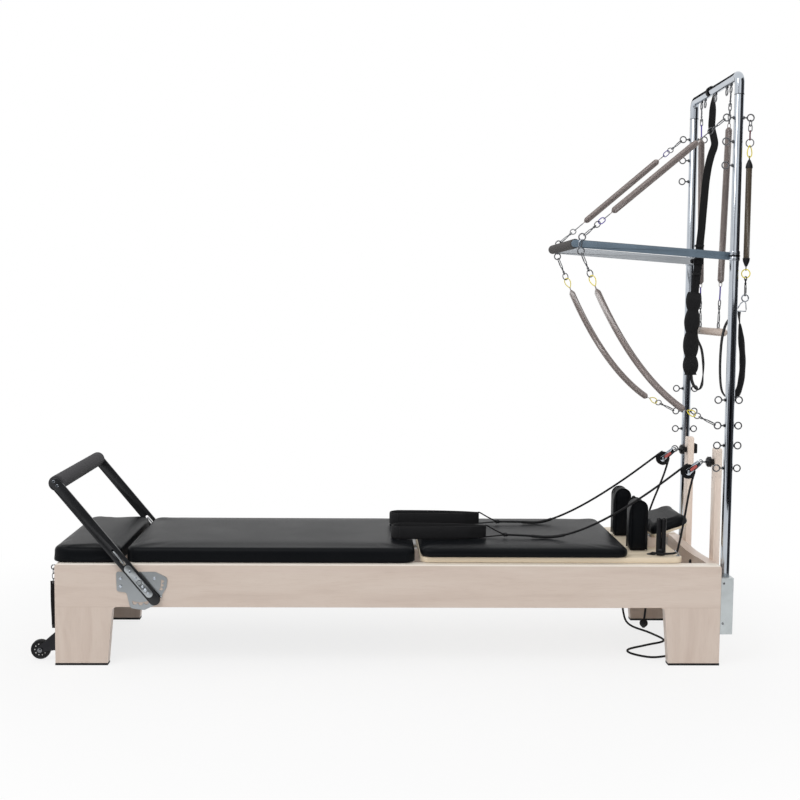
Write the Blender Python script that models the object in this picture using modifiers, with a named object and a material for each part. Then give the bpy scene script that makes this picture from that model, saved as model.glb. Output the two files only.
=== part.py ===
"""Pilates reformer with tower: wooden frame, rolling carriage, rope pulleys and a push-through tower.

Metres, +Z up. +X runs from the foot end to the head end, -Y is the near side. Points are measured
from the outer face of the foot end and from the floor, and one empty carries everything to the
origin, which is the middle of the object's outer box at floor level.
"""
import math

import bmesh
import bpy
from mathutils import Matrix, Vector

# Frame
frame_length = 2.35
frame_width = 0.66
rail_bottom = 0.208
rail_top = 0.362
rail_thickness = 0.038
leg_top = 0.200
leg_foot = 0.182
leg_fillet = 0.016
rail_corner = 0.012
rail_edge = 0.0025
end_board = 0.025
end_board_bottom = 0.030
end_board_drop = 0.004
head_board = 0.038
head_scoop = 0.010
fit_gap = 0.0003

# Tracks inside the rails and the bar that the carriage springs hook on
track_wall = 0.003
track_flange = 0.030
track_height = 0.045
track_floor = 0.300
spring_bar_from = 0.300
spring_bar_width = 0.040
spring_bar_thickness = 0.006
spring_pegs = 5
spring_peg_pitch = 0.085
peg_radius = 0.005
peg_height = 0.030

# Mat top
pad_top = 0.418
pad_crown = 0.004
pad_edge = 0.014
pad_tuck = 0.003
pad_width = 0.640
pad_joint = 0.005
platform_from = -0.017
platform_to = 0.231
insert_length = 1.033
head_space = 0.320

# Carriage
board_thickness = 0.019
board_inset = 0.006
board_space = 0.130
board_width = 0.600
board_corner = 0.030
board_gap = 0.0015
roller_radius = 0.020
roller_width = 0.016
roller_bore = 0.0045
roller_inset = 0.090
roller_axle = 0.0040
roller_ear = 0.006
carriage_springs = 3
carriage_spring_radius = 0.0135
carriage_spring_pitch = 0.090
carriage_spring_length = 0.510
hook_bar_radius = 0.005
hook_ring = 0.0105
hook_wire = 0.002

# Shoulder rests, headrest and cleats
rest_gap = 0.022
rest_thickness = 0.068
rest_width = 0.078
rest_height = 0.190
rest_spacing = 0.286
rest_round = 0.010
rest_peg_radius = 0.010
rest_peg_clearance = 0.0005
headrest_gap = 0.115
headrest_length = 0.152
headrest_width = 0.280
headrest_thickness = 0.040
headrest_tilt = 18.6
headrest_lift = 0.0415
headrest_under = 0.0035
prop_back = 0.010
prop_front = 0.020
prop_width = 0.220
cleat_gap = 0.120
cleat_y = 0.250
cleat_height = 0.137
cleat_stem = 0.009
cleat_base = 0.015
cleat_lobe = 0.011
rope_hole_gap = 0.088
rope_hole_y = 0.238
rope_hole = 0.012
rope_eye_gap = 0.1735
rope_eye_y = 0.262
rope_eye_ring = 0.0095
rope_eye_lean = 0.0067

# Footbar
bar_pivot_x = 0.298
bar_pivot_z = 0.299
bar_reach = 0.449
bar_angle = 129.6
bar_tail = 0.080
bar_arm_width = 0.040
bar_arm_thickness = 0.008
bar_pin = 0.008
bar_pin_clearance = 0.0003
slot_from = 0.084
slot_to = 0.144
slot_width = 0.012
grip_radius = 0.027
plate_thickness = 0.003
notch_radius = 0.0755
notch_band = 0.006
notch_depth = 0.009

# Transport wheels
wheel_radius = 0.035
wheel_width = 0.024
wheel_bore = 0.0055
wheel_axle = 0.0050
wheel_setback = 0.069
wheel_lift = 0.002
wheel_y = 0.255
bracket_wall = 0.003
bracket_slack = 0.001

# Foot strap that hangs from an eye on the foot end
strap_y = -0.240
strap_z = 0.330
strap_length = 0.190
strap_width = 0.026
strap_thickness = 0.008
strap_standoff = 0.016
strap_eye_ring = 0.0085
strap_eye_wire = 0.002
strap_ring = 0.0105
strap_ring_wire = 0.0018

# Risers, their knobs and pulleys
riser_y = 0.190
riser_width = 0.050
riser_thickness = 0.024
riser_over = 0.051
riser_bottom = 0.110
knob_rise = 0.036
knob_radius = 0.019
knob_length = 0.0275
knob_bore = 0.0040
bolt_reach = 0.040
bolt_radius = 0.0030
bolt_ring = 0.009
bolt_wire = 0.0022
shackle_offset = 0.0085
pulley_reach = 0.093
pulley_z = 0.678
groove_radius = 0.019
sheave_radius = 0.026
sheave_width = 0.014
sheave_bore = 0.0045
pulley_axle = 0.0042
cheek_thickness = 0.002
cheek_slack = 0.001

# Tower
post_y = 0.292
post_radius = 0.0163
tower_top = 2.080
corner_bend = 0.045
joint_drop = 0.0667
socket_from = 0.113
socket_to = 0.316
socket_floor = 0.010
socket_depth = 0.044
socket_width = 0.060
socket_clearance = 0.0004
eye_ring = 0.0118
eye_wire = 0.00225
eye_reach = 0.042
high_eye_drops = (0.147, 0.229, 0.311)
low_eyes = (0.948, 0.857, 0.786, 0.705)
top_eyes = (-0.190, -0.140, 0.0, 0.140, 0.190)
top_eye_drop = 0.034

# Push-through bar
push_z = 1.455
push_reach = 0.558
push_rise = 4.0
push_y = 0.262
push_depth = 0.028
push_thickness = 0.008
push_core = 0.0125
push_grip = 0.017
push_pin = 0.006
push_collar = 0.024
push_collar_height = 0.040
push_eye_back = 0.022

# Springs of the tower
coil_radius = 0.0105
coil_wire = 0.0018
link_ring = 0.0085
link_wire = 0.0019
tower_curls = 6
roll_curls = 6
link_gap = 0.0005

# Roll-down bar
dowel_z = 1.184
dowel_radius = 0.014
dowel_length = 0.402
dowel_eye_y = 0.120
roll_y = 0.190

# Arm strap and sling
handle_top = 1.262
handle_bottom = 0.950
handle_width = 0.090
handle_band = 0.026
handle_y = -0.2585
handle_offset = 0.0107
sling_y = 0.075
sling_offset = 0.0543
sling_strap = 0.028
sling_cloth = 0.009
sling_bottom = 0.955
sling_band = 0.034

# Ropes and hand loops
rope_radius = 0.004
knot_radius = 0.010
loop_inset = 0.089
loop_length = 0.340
knot_reach = 0.080
loop_y = 0.140
loop_width = 0.086
loop_height = 0.046
loop_thickness = 0.004
rope_lift = 0.0008

# Sides, as the sign of Y
sides = (("near", -1), ("far", 1))
round_faces = 16
turned_faces = 12
small_faces = 6
eye_around = 8
eye_section = 3

# Values that follow from the ones above
rail_face = frame_width / 2
rail_inner = rail_face - rail_thickness
pad_bottom = rail_top + fit_gap
insert_from = platform_to + pad_joint
insert_to = insert_from + insert_length
carriage_pad_from = insert_to + pad_joint
carriage_pad_to = frame_length - head_space
board_from = carriage_pad_from + board_inset
board_to = frame_length - board_space
carriage_spring_from = board_from + roller_inset
carriage_spring_to = carriage_spring_from + carriage_spring_length
rest_from = carriage_pad_to + rest_gap
headrest_from = carriage_pad_to + headrest_gap
cleat_x = carriage_pad_to + cleat_gap
rope_hole_x = carriage_pad_to + rope_hole_gap
rope_eye_x = carriage_pad_to + rope_eye_gap
knob_z = pulley_z + knob_rise
riser_top = knob_z + riser_over
pulley_x = frame_length - pulley_reach
post_x = frame_length + fit_gap + socket_depth / 2
post_joint = tower_top - joint_drop
high_eyes = tuple(tower_top - drop for drop in high_eye_drops)
front_eyes = high_eyes + low_eyes
back_eyes = high_eyes[:1] + low_eyes
upper_eye = high_eyes[0]
lower_eye = low_eyes[1]
arm_eye = high_eyes[0]
handle_x = post_x + handle_offset
sling_x = post_x - sling_offset
loop_from = insert_to - loop_inset
loop_to = loop_from + loop_length
knot_x = loop_to + knot_reach
board_bottom = rail_top + board_gap
board_top = board_bottom + board_thickness
mat_height = pad_top + pad_crown
roller_z = track_floor + track_wall + fit_gap + roller_radius
roller_y = rail_inner - track_flange + roller_width / 2 + 0.002
wheel_z = wheel_radius + wheel_lift
eye_size = eye_ring + eye_wire
ring_flat = math.cos(math.pi / eye_around)
reach_back = wheel_setback + wheel_radius
reach_front = post_x + eye_reach + eye_size
origin_x = (reach_front - reach_back) / 2
push_slope = math.radians(180 - push_rise)
bar_slope = math.radians(bar_angle)


def material(name, colour, roughness, metallic=0.0):
    made = bpy.data.materials.new(name)
    made.use_nodes = True
    shader = made.node_tree.nodes["Principled BSDF"]
    shader.inputs["Base Color"].default_value = (*colour, 1.0)
    shader.inputs["Roughness"].default_value = roughness
    shader.inputs["Metallic"].default_value = metallic
    made.diffuse_color = (*colour, 1.0)
    return made


def clear_scene():
    for old in list(bpy.data.objects):
        bpy.data.objects.remove(old, do_unlink=True)


clear_scene()
parts = bpy.data.collections.new("pilates_reformer_with_tower")
helpers = bpy.data.collections.new("cutters")
bpy.context.scene.collection.children.link(parts)
bpy.context.scene.collection.children.link(helpers)

maple = material("maple", (0.60, 0.47, 0.34), 0.45)
birch = material("birch_edge", (0.75, 0.65, 0.50), 0.5)
leather = material("black_leather", (0.035, 0.035, 0.04), 0.5)
webbing = material("black_webbing", (0.02, 0.02, 0.022), 0.85)
rubber = material("black_rubber", (0.02, 0.02, 0.02), 0.7)
plastic = material("black_plastic", (0.025, 0.025, 0.028), 0.4)
zinc = material("zinc_plate", (0.45, 0.47, 0.49), 0.35, 1.0)
aluminium = material("aluminium", (0.62, 0.64, 0.66), 0.35, 1.0)
chrome = material("chrome", (0.75, 0.76, 0.78), 0.12, 1.0)
steel = material("spring_steel", (0.40, 0.34, 0.30), 0.3, 1.0)
bar_paint = material("blue_grey_paint", (0.13, 0.17, 0.20), 0.4)
dark_paint = material("dark_grey_paint", (0.09, 0.09, 0.10), 0.45)
foam = material("grip_foam", (0.05, 0.045, 0.045), 0.85)
strap_cloth = material("strap_cloth", (0.015, 0.015, 0.017), 0.8)

root = bpy.data.objects.new("frame_origin", None)
parts.objects.link(root)
root.location = (-origin_x, 0, 0)


def joint_empty(name, place, parent=None):
    """An empty on a joint's axis, under the root or under another joint's empty."""
    empty = bpy.data.objects.new(name, None)
    parts.objects.link(empty)
    empty.empty_display_size = 0.03
    empty.parent = parent or root
    above = parent["model_place"] if parent else (0, 0, 0)
    empty.location = Vector(place) - Vector(above)
    empty["model_place"] = tuple(place)
    return empty


def add_part(name, mesh, colour, joint=None):
    """A named node from a mesh in model coordinates; a moving piece takes its joint's place as origin."""
    mesh.name = name
    made = bpy.data.objects.new(name, mesh)
    parts.objects.link(made)
    mesh.materials.clear()
    mesh.materials.append(colour)
    mesh.shade_smooth()
    mesh.set_sharp_from_angle(angle=math.radians(35))
    if joint:
        mesh.transform(Matrix.Translation(-Vector(joint["model_place"])))
    made.parent = joint or root
    return made


def add_helper(name, mesh, target):
    """A cutter or joined shape in model coordinates, hidden from the render."""
    made = bpy.data.objects.new(name, mesh)
    helpers.objects.link(made)
    place = Vector(target.parent.get("model_place", (0, 0, 0)))
    mesh.transform(Matrix.Translation(-place))
    made.parent = target.parent
    made.hide_render = True
    made.display_type = "WIRE"
    return made


def combine(target, mesh, operation):
    """One exact Boolean of a node with a mesh."""
    helper = add_helper(f"{target.name}_{operation.lower()}", mesh, target)
    change = target.modifiers.new(operation.lower(), "BOOLEAN")
    change.operation = operation
    change.solver = "EXACT"
    change.object = helper
    return change


def join(target, mesh):
    combine(target, mesh, "UNION")


def cut(target, mesh):
    combine(target, mesh, "DIFFERENCE")


def soften(target, width, segments=2, angle=40):
    """Rounded edges on a node."""
    edge = target.modifiers.new("bevel", "BEVEL")
    edge.width = width
    edge.segments = segments
    edge.limit_method = "ANGLE"
    edge.angle_limit = math.radians(angle)
    return edge


def mesh_from(build, name="shape"):
    """A mesh from a function that fills a bmesh."""
    shape = bmesh.new()
    build(shape)
    bmesh.ops.recalc_face_normals(shape, faces=shape.faces)
    mesh = bpy.data.meshes.new(name)
    shape.to_mesh(mesh)
    shape.free()
    return mesh


def together(meshes):
    """One mesh that holds several separate shapes."""
    def build(shape):
        for mesh in meshes:
            shape.from_mesh(mesh)
    return mesh_from(build)


def box(low, high):
    middle = (Vector(low) + Vector(high)) / 2
    size = Vector(high) - Vector(low)
    place = Matrix.Translation(middle) @ Matrix.Diagonal((*size, 1.0))
    return mesh_from(lambda shape: bmesh.ops.create_cube(shape, size=1.0, matrix=place))


def turn_to(direction):
    return Vector(direction).to_track_quat("Z", "Y").to_matrix().to_4x4()


def rod(start, end, radius, faces=small_faces, end_radius=None):
    """A cylinder or cone from one point to another."""
    start = Vector(start)
    end = Vector(end)
    place = Matrix.Translation((start + end) / 2) @ turn_to(end - start)
    tip = radius if end_radius is None else end_radius
    return mesh_from(lambda shape: bmesh.ops.create_cone(
        shape, cap_ends=True, segments=faces, radius1=radius, radius2=tip,
        depth=(end - start).length, matrix=place))


def ball(middle, radius, rings=5):
    place = Matrix.Translation(Vector(middle))
    return mesh_from(lambda shape: bmesh.ops.create_uvsphere(
        shape, u_segments=rings + 3, v_segments=rings, radius=radius, matrix=place))


def ring(middle, normal, radius, wire, around=eye_around, section=eye_section):
    """A torus about a normal."""
    bpy.ops.mesh.primitive_torus_add(major_radius=radius, minor_radius=wire,
                                     major_segments=around, minor_segments=section)
    made = bpy.context.active_object
    mesh = made.data
    mesh.transform(Matrix.Translation(Vector(middle)) @ turn_to(normal))
    bpy.data.objects.remove(made)
    return mesh


def evaluated_mesh(made):
    """The mesh of a curve or modified object, with its caps welded; the object is removed."""
    bpy.context.scene.collection.objects.link(made)
    bpy.context.view_layer.update()
    graph = bpy.context.evaluated_depsgraph_get()
    mesh = bpy.data.meshes.new_from_object(made.evaluated_get(graph))
    bpy.data.objects.remove(made)
    shape = bmesh.new()
    shape.from_mesh(mesh)
    bmesh.ops.remove_doubles(shape, verts=shape.verts, dist=1e-6)
    bmesh.ops.recalc_face_normals(shape, faces=shape.faces)
    shape.to_mesh(mesh)
    shape.free()
    return mesh


def tube(points, radius, sides=2, closed=False):
    """A round tube along points."""
    data = bpy.data.curves.new("tube", "CURVE")
    data.dimensions = "3D"
    data.bevel_depth = radius
    data.bevel_resolution = sides
    data.use_fill_caps = not closed
    line = data.splines.new("POLY")
    line.points.add(len(points) - 1)
    for spot, place in zip(line.points, points):
        spot.co = (*place, 1.0)
    line.use_cyclic_u = closed
    return evaluated_mesh(bpy.data.objects.new("tube", data))


planes = {
    "XZ": Matrix(((1, 0, 0, 0), (0, 0, -1, 0), (0, 1, 0, 0), (0, 0, 0, 1))),
    "YZ": Matrix(((0, 0, 1, 0), (1, 0, 0, 0), (0, 1, 0, 0), (0, 0, 0, 1))),
    "XY": Matrix.Identity(4),
}
normals = {"XZ": Vector((0, 1, 0)), "YZ": Vector((1, 0, 0)), "XY": Vector((0, 0, 1))}


def slab(outlines, plane, low, high):
    """A flat outline, with holes if it has more than one, made solid between two heights."""
    data = bpy.data.curves.new("outline", "CURVE")
    data.dimensions = "2D"
    data.fill_mode = "BOTH"
    data.extrude = (high - low) / 2
    for outline in outlines:
        line = data.splines.new("POLY")
        line.points.add(len(outline) - 1)
        for spot, place in zip(line.points, outline):
            spot.co = (place[0], place[1], 0.0, 1.0)
        line.use_cyclic_u = True
    mesh = evaluated_mesh(bpy.data.objects.new("outline", data))
    mesh.transform(Matrix.Translation(normals[plane] * (low + high) / 2) @ planes[plane])
    return mesh


def arc(middle, radius, start, end, steps):
    """Points of an arc in degrees, both ends included."""
    points = []
    for step in range(steps + 1):
        angle = math.radians(start + (end - start) * step / steps)
        points.append((middle[0] + radius * math.cos(angle), middle[1] + radius * math.sin(angle)))
    return points


def circle(middle, radius, faces=round_faces):
    return arc(middle, radius, 0, 360 * (faces - 1) / faces, faces - 1)


def rounded(corners, steps=2):
    """An outline from (u, v, radius) corners, each with a round of its own radius."""
    outline = []
    count = len(corners)
    for index in range(count):
        before = Vector(corners[index - 1][:2])
        here = Vector(corners[index][:2])
        after = Vector(corners[(index + 1) % count][:2])
        radius = corners[index][2]
        if radius <= 0:
            outline.append(tuple(here))
            continue
        back = (before - here).normalized()
        ahead = (after - here).normalized()
        half = back.angle(ahead) / 2
        run = radius / math.tan(half)
        centre = here + (back + ahead).normalized() * radius / math.sin(half)
        first = here + back * run - centre
        last = here + ahead * run - centre
        sweep = first.angle_signed(last)
        for step in range(steps + 1):
            turn = Matrix.Rotation(-sweep * step / steps, 2)
            outline.append(tuple(centre + turn @ first))
    return outline


def bar_outline(start, end, width, tip_steps=6):
    """A straight bar with round ends, from one centre to the other."""
    start = Vector(start)
    end = Vector(end)
    angle = math.degrees(math.atan2(end.y - start.y, end.x - start.x))
    near_tip = arc(start, width / 2, angle + 90, angle + 270, tip_steps)
    far_tip = arc(end, width / 2, angle - 90, angle + 90, tip_steps)
    return near_tip + far_tip


def along(start, angle, distance):
    """A point in a plane at an angle and distance from another."""
    return (start[0] + distance * math.cos(angle), start[1] + distance * math.sin(angle))


def turned(profile, axis_point, axis, faces=turned_faces):
    """A turned shape about an axis, from a closed profile of (radius, height) points."""
    mesh = bpy.data.meshes.new("profile")
    corners = [(radius, 0, height) for radius, height in profile]
    on_axis = profile[0][0] == 0 and profile[-1][0] == 0
    edges = [(index, (index + 1) % len(profile)) for index in range(len(profile) - on_axis)]
    mesh.from_pydata(corners, edges, [])
    made = bpy.data.objects.new("turned", mesh)
    screw = made.modifiers.new("screw", "SCREW")
    screw.steps = faces
    screw.render_steps = faces
    screw.use_merge_vertices = True
    screw.merge_threshold = 1e-6
    result = evaluated_mesh(made)
    result.transform(Matrix.Translation(Vector(axis_point)) @ turn_to(axis))
    return result


def smooth_path(corners, per_run):
    """Points on a smooth curve through chosen points."""
    ends = [2 * corners[0] - corners[1], *corners, 2 * corners[-1] - corners[-2]]
    points = []
    for index in range(1, len(ends) - 2):
        before, start, end, after = ends[index - 1:index + 3]
        for step in range(per_run):
            t = step / per_run
            points.append(0.5 * (2 * start + (end - before) * t
                                 + (2 * before - 5 * start + 4 * end - after) * t * t
                                 + (3 * start - before - 3 * end + after) * t ** 3))
    points.append(corners[-1])
    return points


def cushion(low, high, crown=pad_crown, edge=pad_edge, tuck=pad_tuck):
    """An upholstered pad: crowned top, sides that bulge at the middle and draw in at both seams."""
    low = Vector(low)
    high = Vector(high)
    middle = (low + high) / 2
    half = (high - low) / 2

    def build(shape):
        bmesh.ops.create_cube(shape, size=2.0)
        bmesh.ops.subdivide_edges(shape, edges=shape.edges, cuts=2, use_grid_fill=True)
        for corner in shape.verts:
            share = corner.co.copy()
            for axis in range(3):
                size = half[axis]
                rim = min(edge, size / 2)
                level = share[axis]
                if abs(level) < 0.9:
                    level = math.copysign(1 - rim / size, level)
                corner.co[axis] = middle[axis] + size * level
            seam = tuck if abs(share.z) > 0.9 else 0.0
            for axis in (0, 1):
                if abs(share[axis]) > 0.9:
                    corner.co[axis] -= math.copysign(seam, share[axis])
            if share.z > 0.9 and abs(share.x) < 0.9 and abs(share.y) < 0.9:
                corner.co.z += crown
    return mesh_from(build)


def soft(target, level=1):
    """Rounds a coarse cage."""
    smooth = target.modifiers.new("subdivision", "SUBSURF")
    smooth.levels = level
    smooth.render_levels = level


def linked(eye, direction, eye_radius, eye_thickness, other_radius, other_thickness):
    """Where a ring's centre goes when it hangs linked in an eye and is pulled in a direction."""
    reach = (eye_radius + other_radius) * ring_flat - eye_thickness - other_thickness - link_gap
    return Vector(eye) + Vector(direction).normalized() * reach


def least_gap(points, wire, window):
    """The least clear distance between turns of a tube, leaving out points that are neighbours."""
    least = 1.0
    for index, first in enumerate(points):
        for other in range(index + window, len(points)):
            least = min(least, (first - points[other]).length - 2 * wire)
    return least


def curved(start, bend, end, share):
    """A point on the curve from start to end that leans to bend."""
    return start * (1 - share) ** 2 + bend * 2 * share * (1 - share) + end * share ** 2


def coil_line(start, bend, end, body_from, body_to, curls, per_curl=8):
    """The centre line of a spring: straight leads and a round coil about a curved line."""
    side = Vector((0, 1, 0))
    count = curls * per_curl
    points = [start]
    for step in range(-per_curl // 2, count + per_curl // 2 + 1):
        share = body_from + (body_to - body_from) * step / count
        centre = curved(start, bend, end, share)
        ahead = (curved(start, bend, end, share + 0.01) - centre).normalized()
        across = side.cross(ahead).normalized()
        level = across.cross(ahead).normalized()
        ramp = min(1.0, (step + per_curl / 2) / (per_curl / 2),
                   (count + per_curl / 2 - step) / (per_curl / 2))
        angle = 2 * math.pi * step / per_curl
        offset = across * math.cos(angle) + level * math.sin(angle)
        points.append(centre + offset * coil_radius * max(0.0, ramp))
    points.append(end)
    return points


def spring(name, upper_eye_place, lower_eye_place, body_from, body_to, curls, joint,
           bend_share=None, lower_ring_radius=eye_ring, lower_ring_wire=eye_wire, across=(0, 1, 0)):
    """A tower spring with a link ring at each end, hung between two eyes."""
    upper = Vector(upper_eye_place)
    lower = Vector(lower_eye_place)
    bend = (upper + lower) / 2 if bend_share is None else Vector(bend_share)
    down = (bend - upper).normalized()
    back = (bend - lower).normalized()
    top_ring = linked(upper, down, eye_ring, eye_wire, link_ring, link_wire)
    low_ring = linked(lower, back, lower_ring_radius, lower_ring_wire, link_ring, link_wire)
    start = top_ring + down * link_ring
    end = low_ring + back * link_ring
    line = coil_line(start, bend, end, body_from, body_to, curls)
    print(name, "least gap between turns in mm", round(1000 * least_gap(line, coil_wire, 5), 2))
    made = add_part(name, tube(line, coil_wire, 0), steel, joint)
    wide = Vector(across)
    links = together([ring(top_ring, wide.cross(down), link_ring, link_wire),
                      ring(low_ring, wide.cross(back), link_ring, link_wire)])
    join(made, links)
    return made


def eyebolts(places, outward, ring_normal, reach, base):
    """Shanks and rings of several eyebolts, as two meshes of separate shapes."""
    outward = Vector(outward)
    shanks = []
    rings = []
    for place in places:
        centre = Vector(place) + outward * reach
        shanks.append(rod(Vector(place) + outward * base, centre - outward * (eye_ring - 0.0005),
                          0.003, 4))
        rings.append(ring(centre, ring_normal, eye_ring, eye_wire))
    return together(shanks), together(rings)


# Frame of the reformer

def rail_outline():
    half_gap = frame_length - leg_top
    half_foot = frame_length - leg_foot
    corners = [
        (0, 0, 0.004), (leg_foot, 0, 0.004), (leg_top, rail_bottom, leg_fillet),
        (half_gap, rail_bottom, leg_fillet), (half_foot, 0, 0.004), (frame_length, 0, 0.004),
        (frame_length, rail_top, rail_corner), (0, rail_top, rail_corner),
    ]
    return rounded(corners, 3)


for side, sign in sides:
    outer = sign * rail_face
    inner = sign * rail_inner
    rail = add_part(f"side_rail_{side}",
                    slab([rail_outline()], "XZ", min(outer, inner), max(outer, inner)), maple)
    soften(rail, rail_edge, 1)

board_half = rail_inner - fit_gap
foot_outline = rounded([
    (-board_half, end_board_bottom, 0.004), (board_half, end_board_bottom, 0.004),
    (board_half, rail_top - end_board_drop, 0.004), (-board_half, rail_top - end_board_drop, 0.004)])
foot_board = add_part("foot_end_board", slab([foot_outline], "YZ", 0, end_board), maple)


def bracket_meshes(y):
    """Two cheeks, a back plate and the axle that carry one transport wheel."""
    inside = wheel_width / 2 + bracket_slack
    outside = inside + bracket_wall
    top = end_board_bottom + 0.075
    bottom = end_board_bottom + 0.006
    cheek = rounded([(0.002, bottom, 0), (0.002, top, 0), (-0.010, top, 0.004),
                     (-wheel_setback - 0.008, wheel_z + 0.010, 0.007),
                     (-wheel_setback - 0.008, wheel_z - 0.010, 0.007), (-0.020, bottom, 0.004)])
    cheeks = [slab([cheek], "XZ", y - outside, y - inside), slab([cheek], "XZ", y + inside, y + outside)]
    plate = box((-bracket_wall, y - outside - 0.008, bottom + 0.001),
                (0.001, y + outside + 0.008, top - 0.001))
    axle = rod((-wheel_setback, y - outside - 0.003, wheel_z), (-wheel_setback, y + outside + 0.003, wheel_z),
               wheel_axle, turned_faces)
    return cheeks, plate, axle


cheek_list = []
plate_list = []
axle_list = []
for side, sign in sides:
    cheeks, plate, axle = bracket_meshes(sign * wheel_y)
    cheek_list.extend(cheeks)
    plate_list.append(plate)
    axle_list.append(axle)
join(foot_board, together(plate_list))
join(foot_board, together(cheek_list))
join(foot_board, together(axle_list))
strap_eye = Vector((-strap_standoff, strap_y, strap_z))
join(foot_board, rod((0.004, strap_y, strap_z), (-strap_standoff + 0.0075, strap_y, strap_z), 0.003, 8))
join(foot_board, ring(strap_eye, (0, 1, 0), strap_eye_ring, strap_eye_wire))

head_from = frame_length - head_board
head_high = rail_top - end_board_drop
scoop_points = []
for step in range(11):
    share = step / 10
    y = board_half * (1 - 2 * share)
    scoop_points.append((y, head_high - head_scoop * math.sin(math.pi * share) ** 2))
head_outline = [(-board_half, end_board_bottom), (board_half, end_board_bottom)] + scoop_points
add_part("head_end_board", slab([head_outline], "YZ", head_from, frame_length), maple)

wheel_profile = [
    (wheel_bore, wheel_width / 2), (wheel_radius * 0.55, wheel_width / 2),
    (wheel_radius * 0.62, wheel_width * 0.38), (wheel_radius * 0.80, wheel_width * 0.38),
    (wheel_radius * 0.88, wheel_width / 2),
    (wheel_radius, wheel_width * 0.36), (wheel_radius, -wheel_width * 0.36),
    (wheel_radius * 0.88, -wheel_width / 2),
    (wheel_radius * 0.80, -wheel_width * 0.38), (wheel_radius * 0.62, -wheel_width * 0.38),
    (wheel_radius * 0.55, -wheel_width / 2), (wheel_bore, -wheel_width / 2),
]
for side, sign in sides:
    hub = (-wheel_setback, sign * wheel_y, wheel_z)
    spin = joint_empty(f"wheel_axis_{side}", hub)
    add_part(f"transport_wheel_{side}", turned(wheel_profile, hub, (0, 1, 0)), rubber, spin)

# Tracks and spring bar
for side, sign in sides:
    wall = rail_inner - fit_gap
    outline = [
        (sign * wall, track_floor), (sign * (wall - track_flange), track_floor),
        (sign * (wall - track_flange), track_floor + track_wall),
        (sign * (wall - track_wall), track_floor + track_wall),
        (sign * (wall - track_wall), track_floor + track_height), (sign * wall, track_floor + track_height)]
    add_part(f"track_{side}", slab([outline], "YZ", end_board + fit_gap, head_from - fit_gap), aluminium)

bar_low = track_floor + track_wall + fit_gap
bar_half = rail_inner - track_wall - 2 * fit_gap - 0.001
spring_bar = add_part("spring_bar", box((spring_bar_from, -bar_half, bar_low),
                                        (spring_bar_from + spring_bar_width, bar_half,
                                         bar_low + spring_bar_thickness)), zinc)
pegs = []
heads = []
for index in range(spring_pegs):
    y = (index - (spring_pegs - 1) / 2) * spring_peg_pitch
    x = spring_bar_from + spring_bar_width / 2
    foot = bar_low + spring_bar_thickness / 2
    pegs.append(rod((x, y, foot), (x, y, bar_low + peg_height), peg_radius, small_faces))
    heads.append(rod((x, y, bar_low + peg_height - 0.002), (x, y, bar_low + peg_height + 0.003),
                     peg_radius * 1.7))
join(spring_bar, together(pegs))
join(spring_bar, together(heads))

# Mat: platform, insert and carriage pad share one height
pad_half = pad_width / 2
platform = add_part("platform_pad", cushion((platform_from, -pad_half, pad_bottom),
                                            (platform_to, pad_half, pad_top)), leather)
soft(platform)
insert_joint = joint_empty("insert_axis", ((insert_from + insert_to) / 2, 0, pad_bottom))
insert = add_part("mat_insert", cushion((insert_from, -pad_half, pad_bottom),
                                        (insert_to, pad_half, pad_top)), leather, insert_joint)
soft(insert)

# Footbar plates with their notched sectors
plate_corners = [
    (-0.083, 0.035, 0.006), (0.054, 0.035, 0.010), (0.096, 0.014, 0.012), (0.092, -0.020, 0.014),
    (0.054, -0.082, 0.014), (0.014, -0.101, 0.012), (-0.034, -0.094, 0.012), (-0.042, -0.062, 0.010),
    (-0.047, -0.038, 0.010), (-0.081, -0.034, 0.006)]


def notch_outline(start, end, notches):
    """A band of an arc about the pivot whose outer edge has round notches for the lock pin."""
    inner = []
    outer = []
    steps = notches * 4
    for step in range(steps + 1):
        share = step / steps
        angle = math.radians(start + (end - start) * share)
        wave = abs(math.sin(math.pi * notches * share)) ** 0.6
        inner.append(along((bar_pivot_x, bar_pivot_z), angle, notch_radius - notch_band / 2))
        outer.append(along((bar_pivot_x, bar_pivot_z), angle, notch_radius + notch_depth * wave))
    return inner + outer[::-1]


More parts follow.
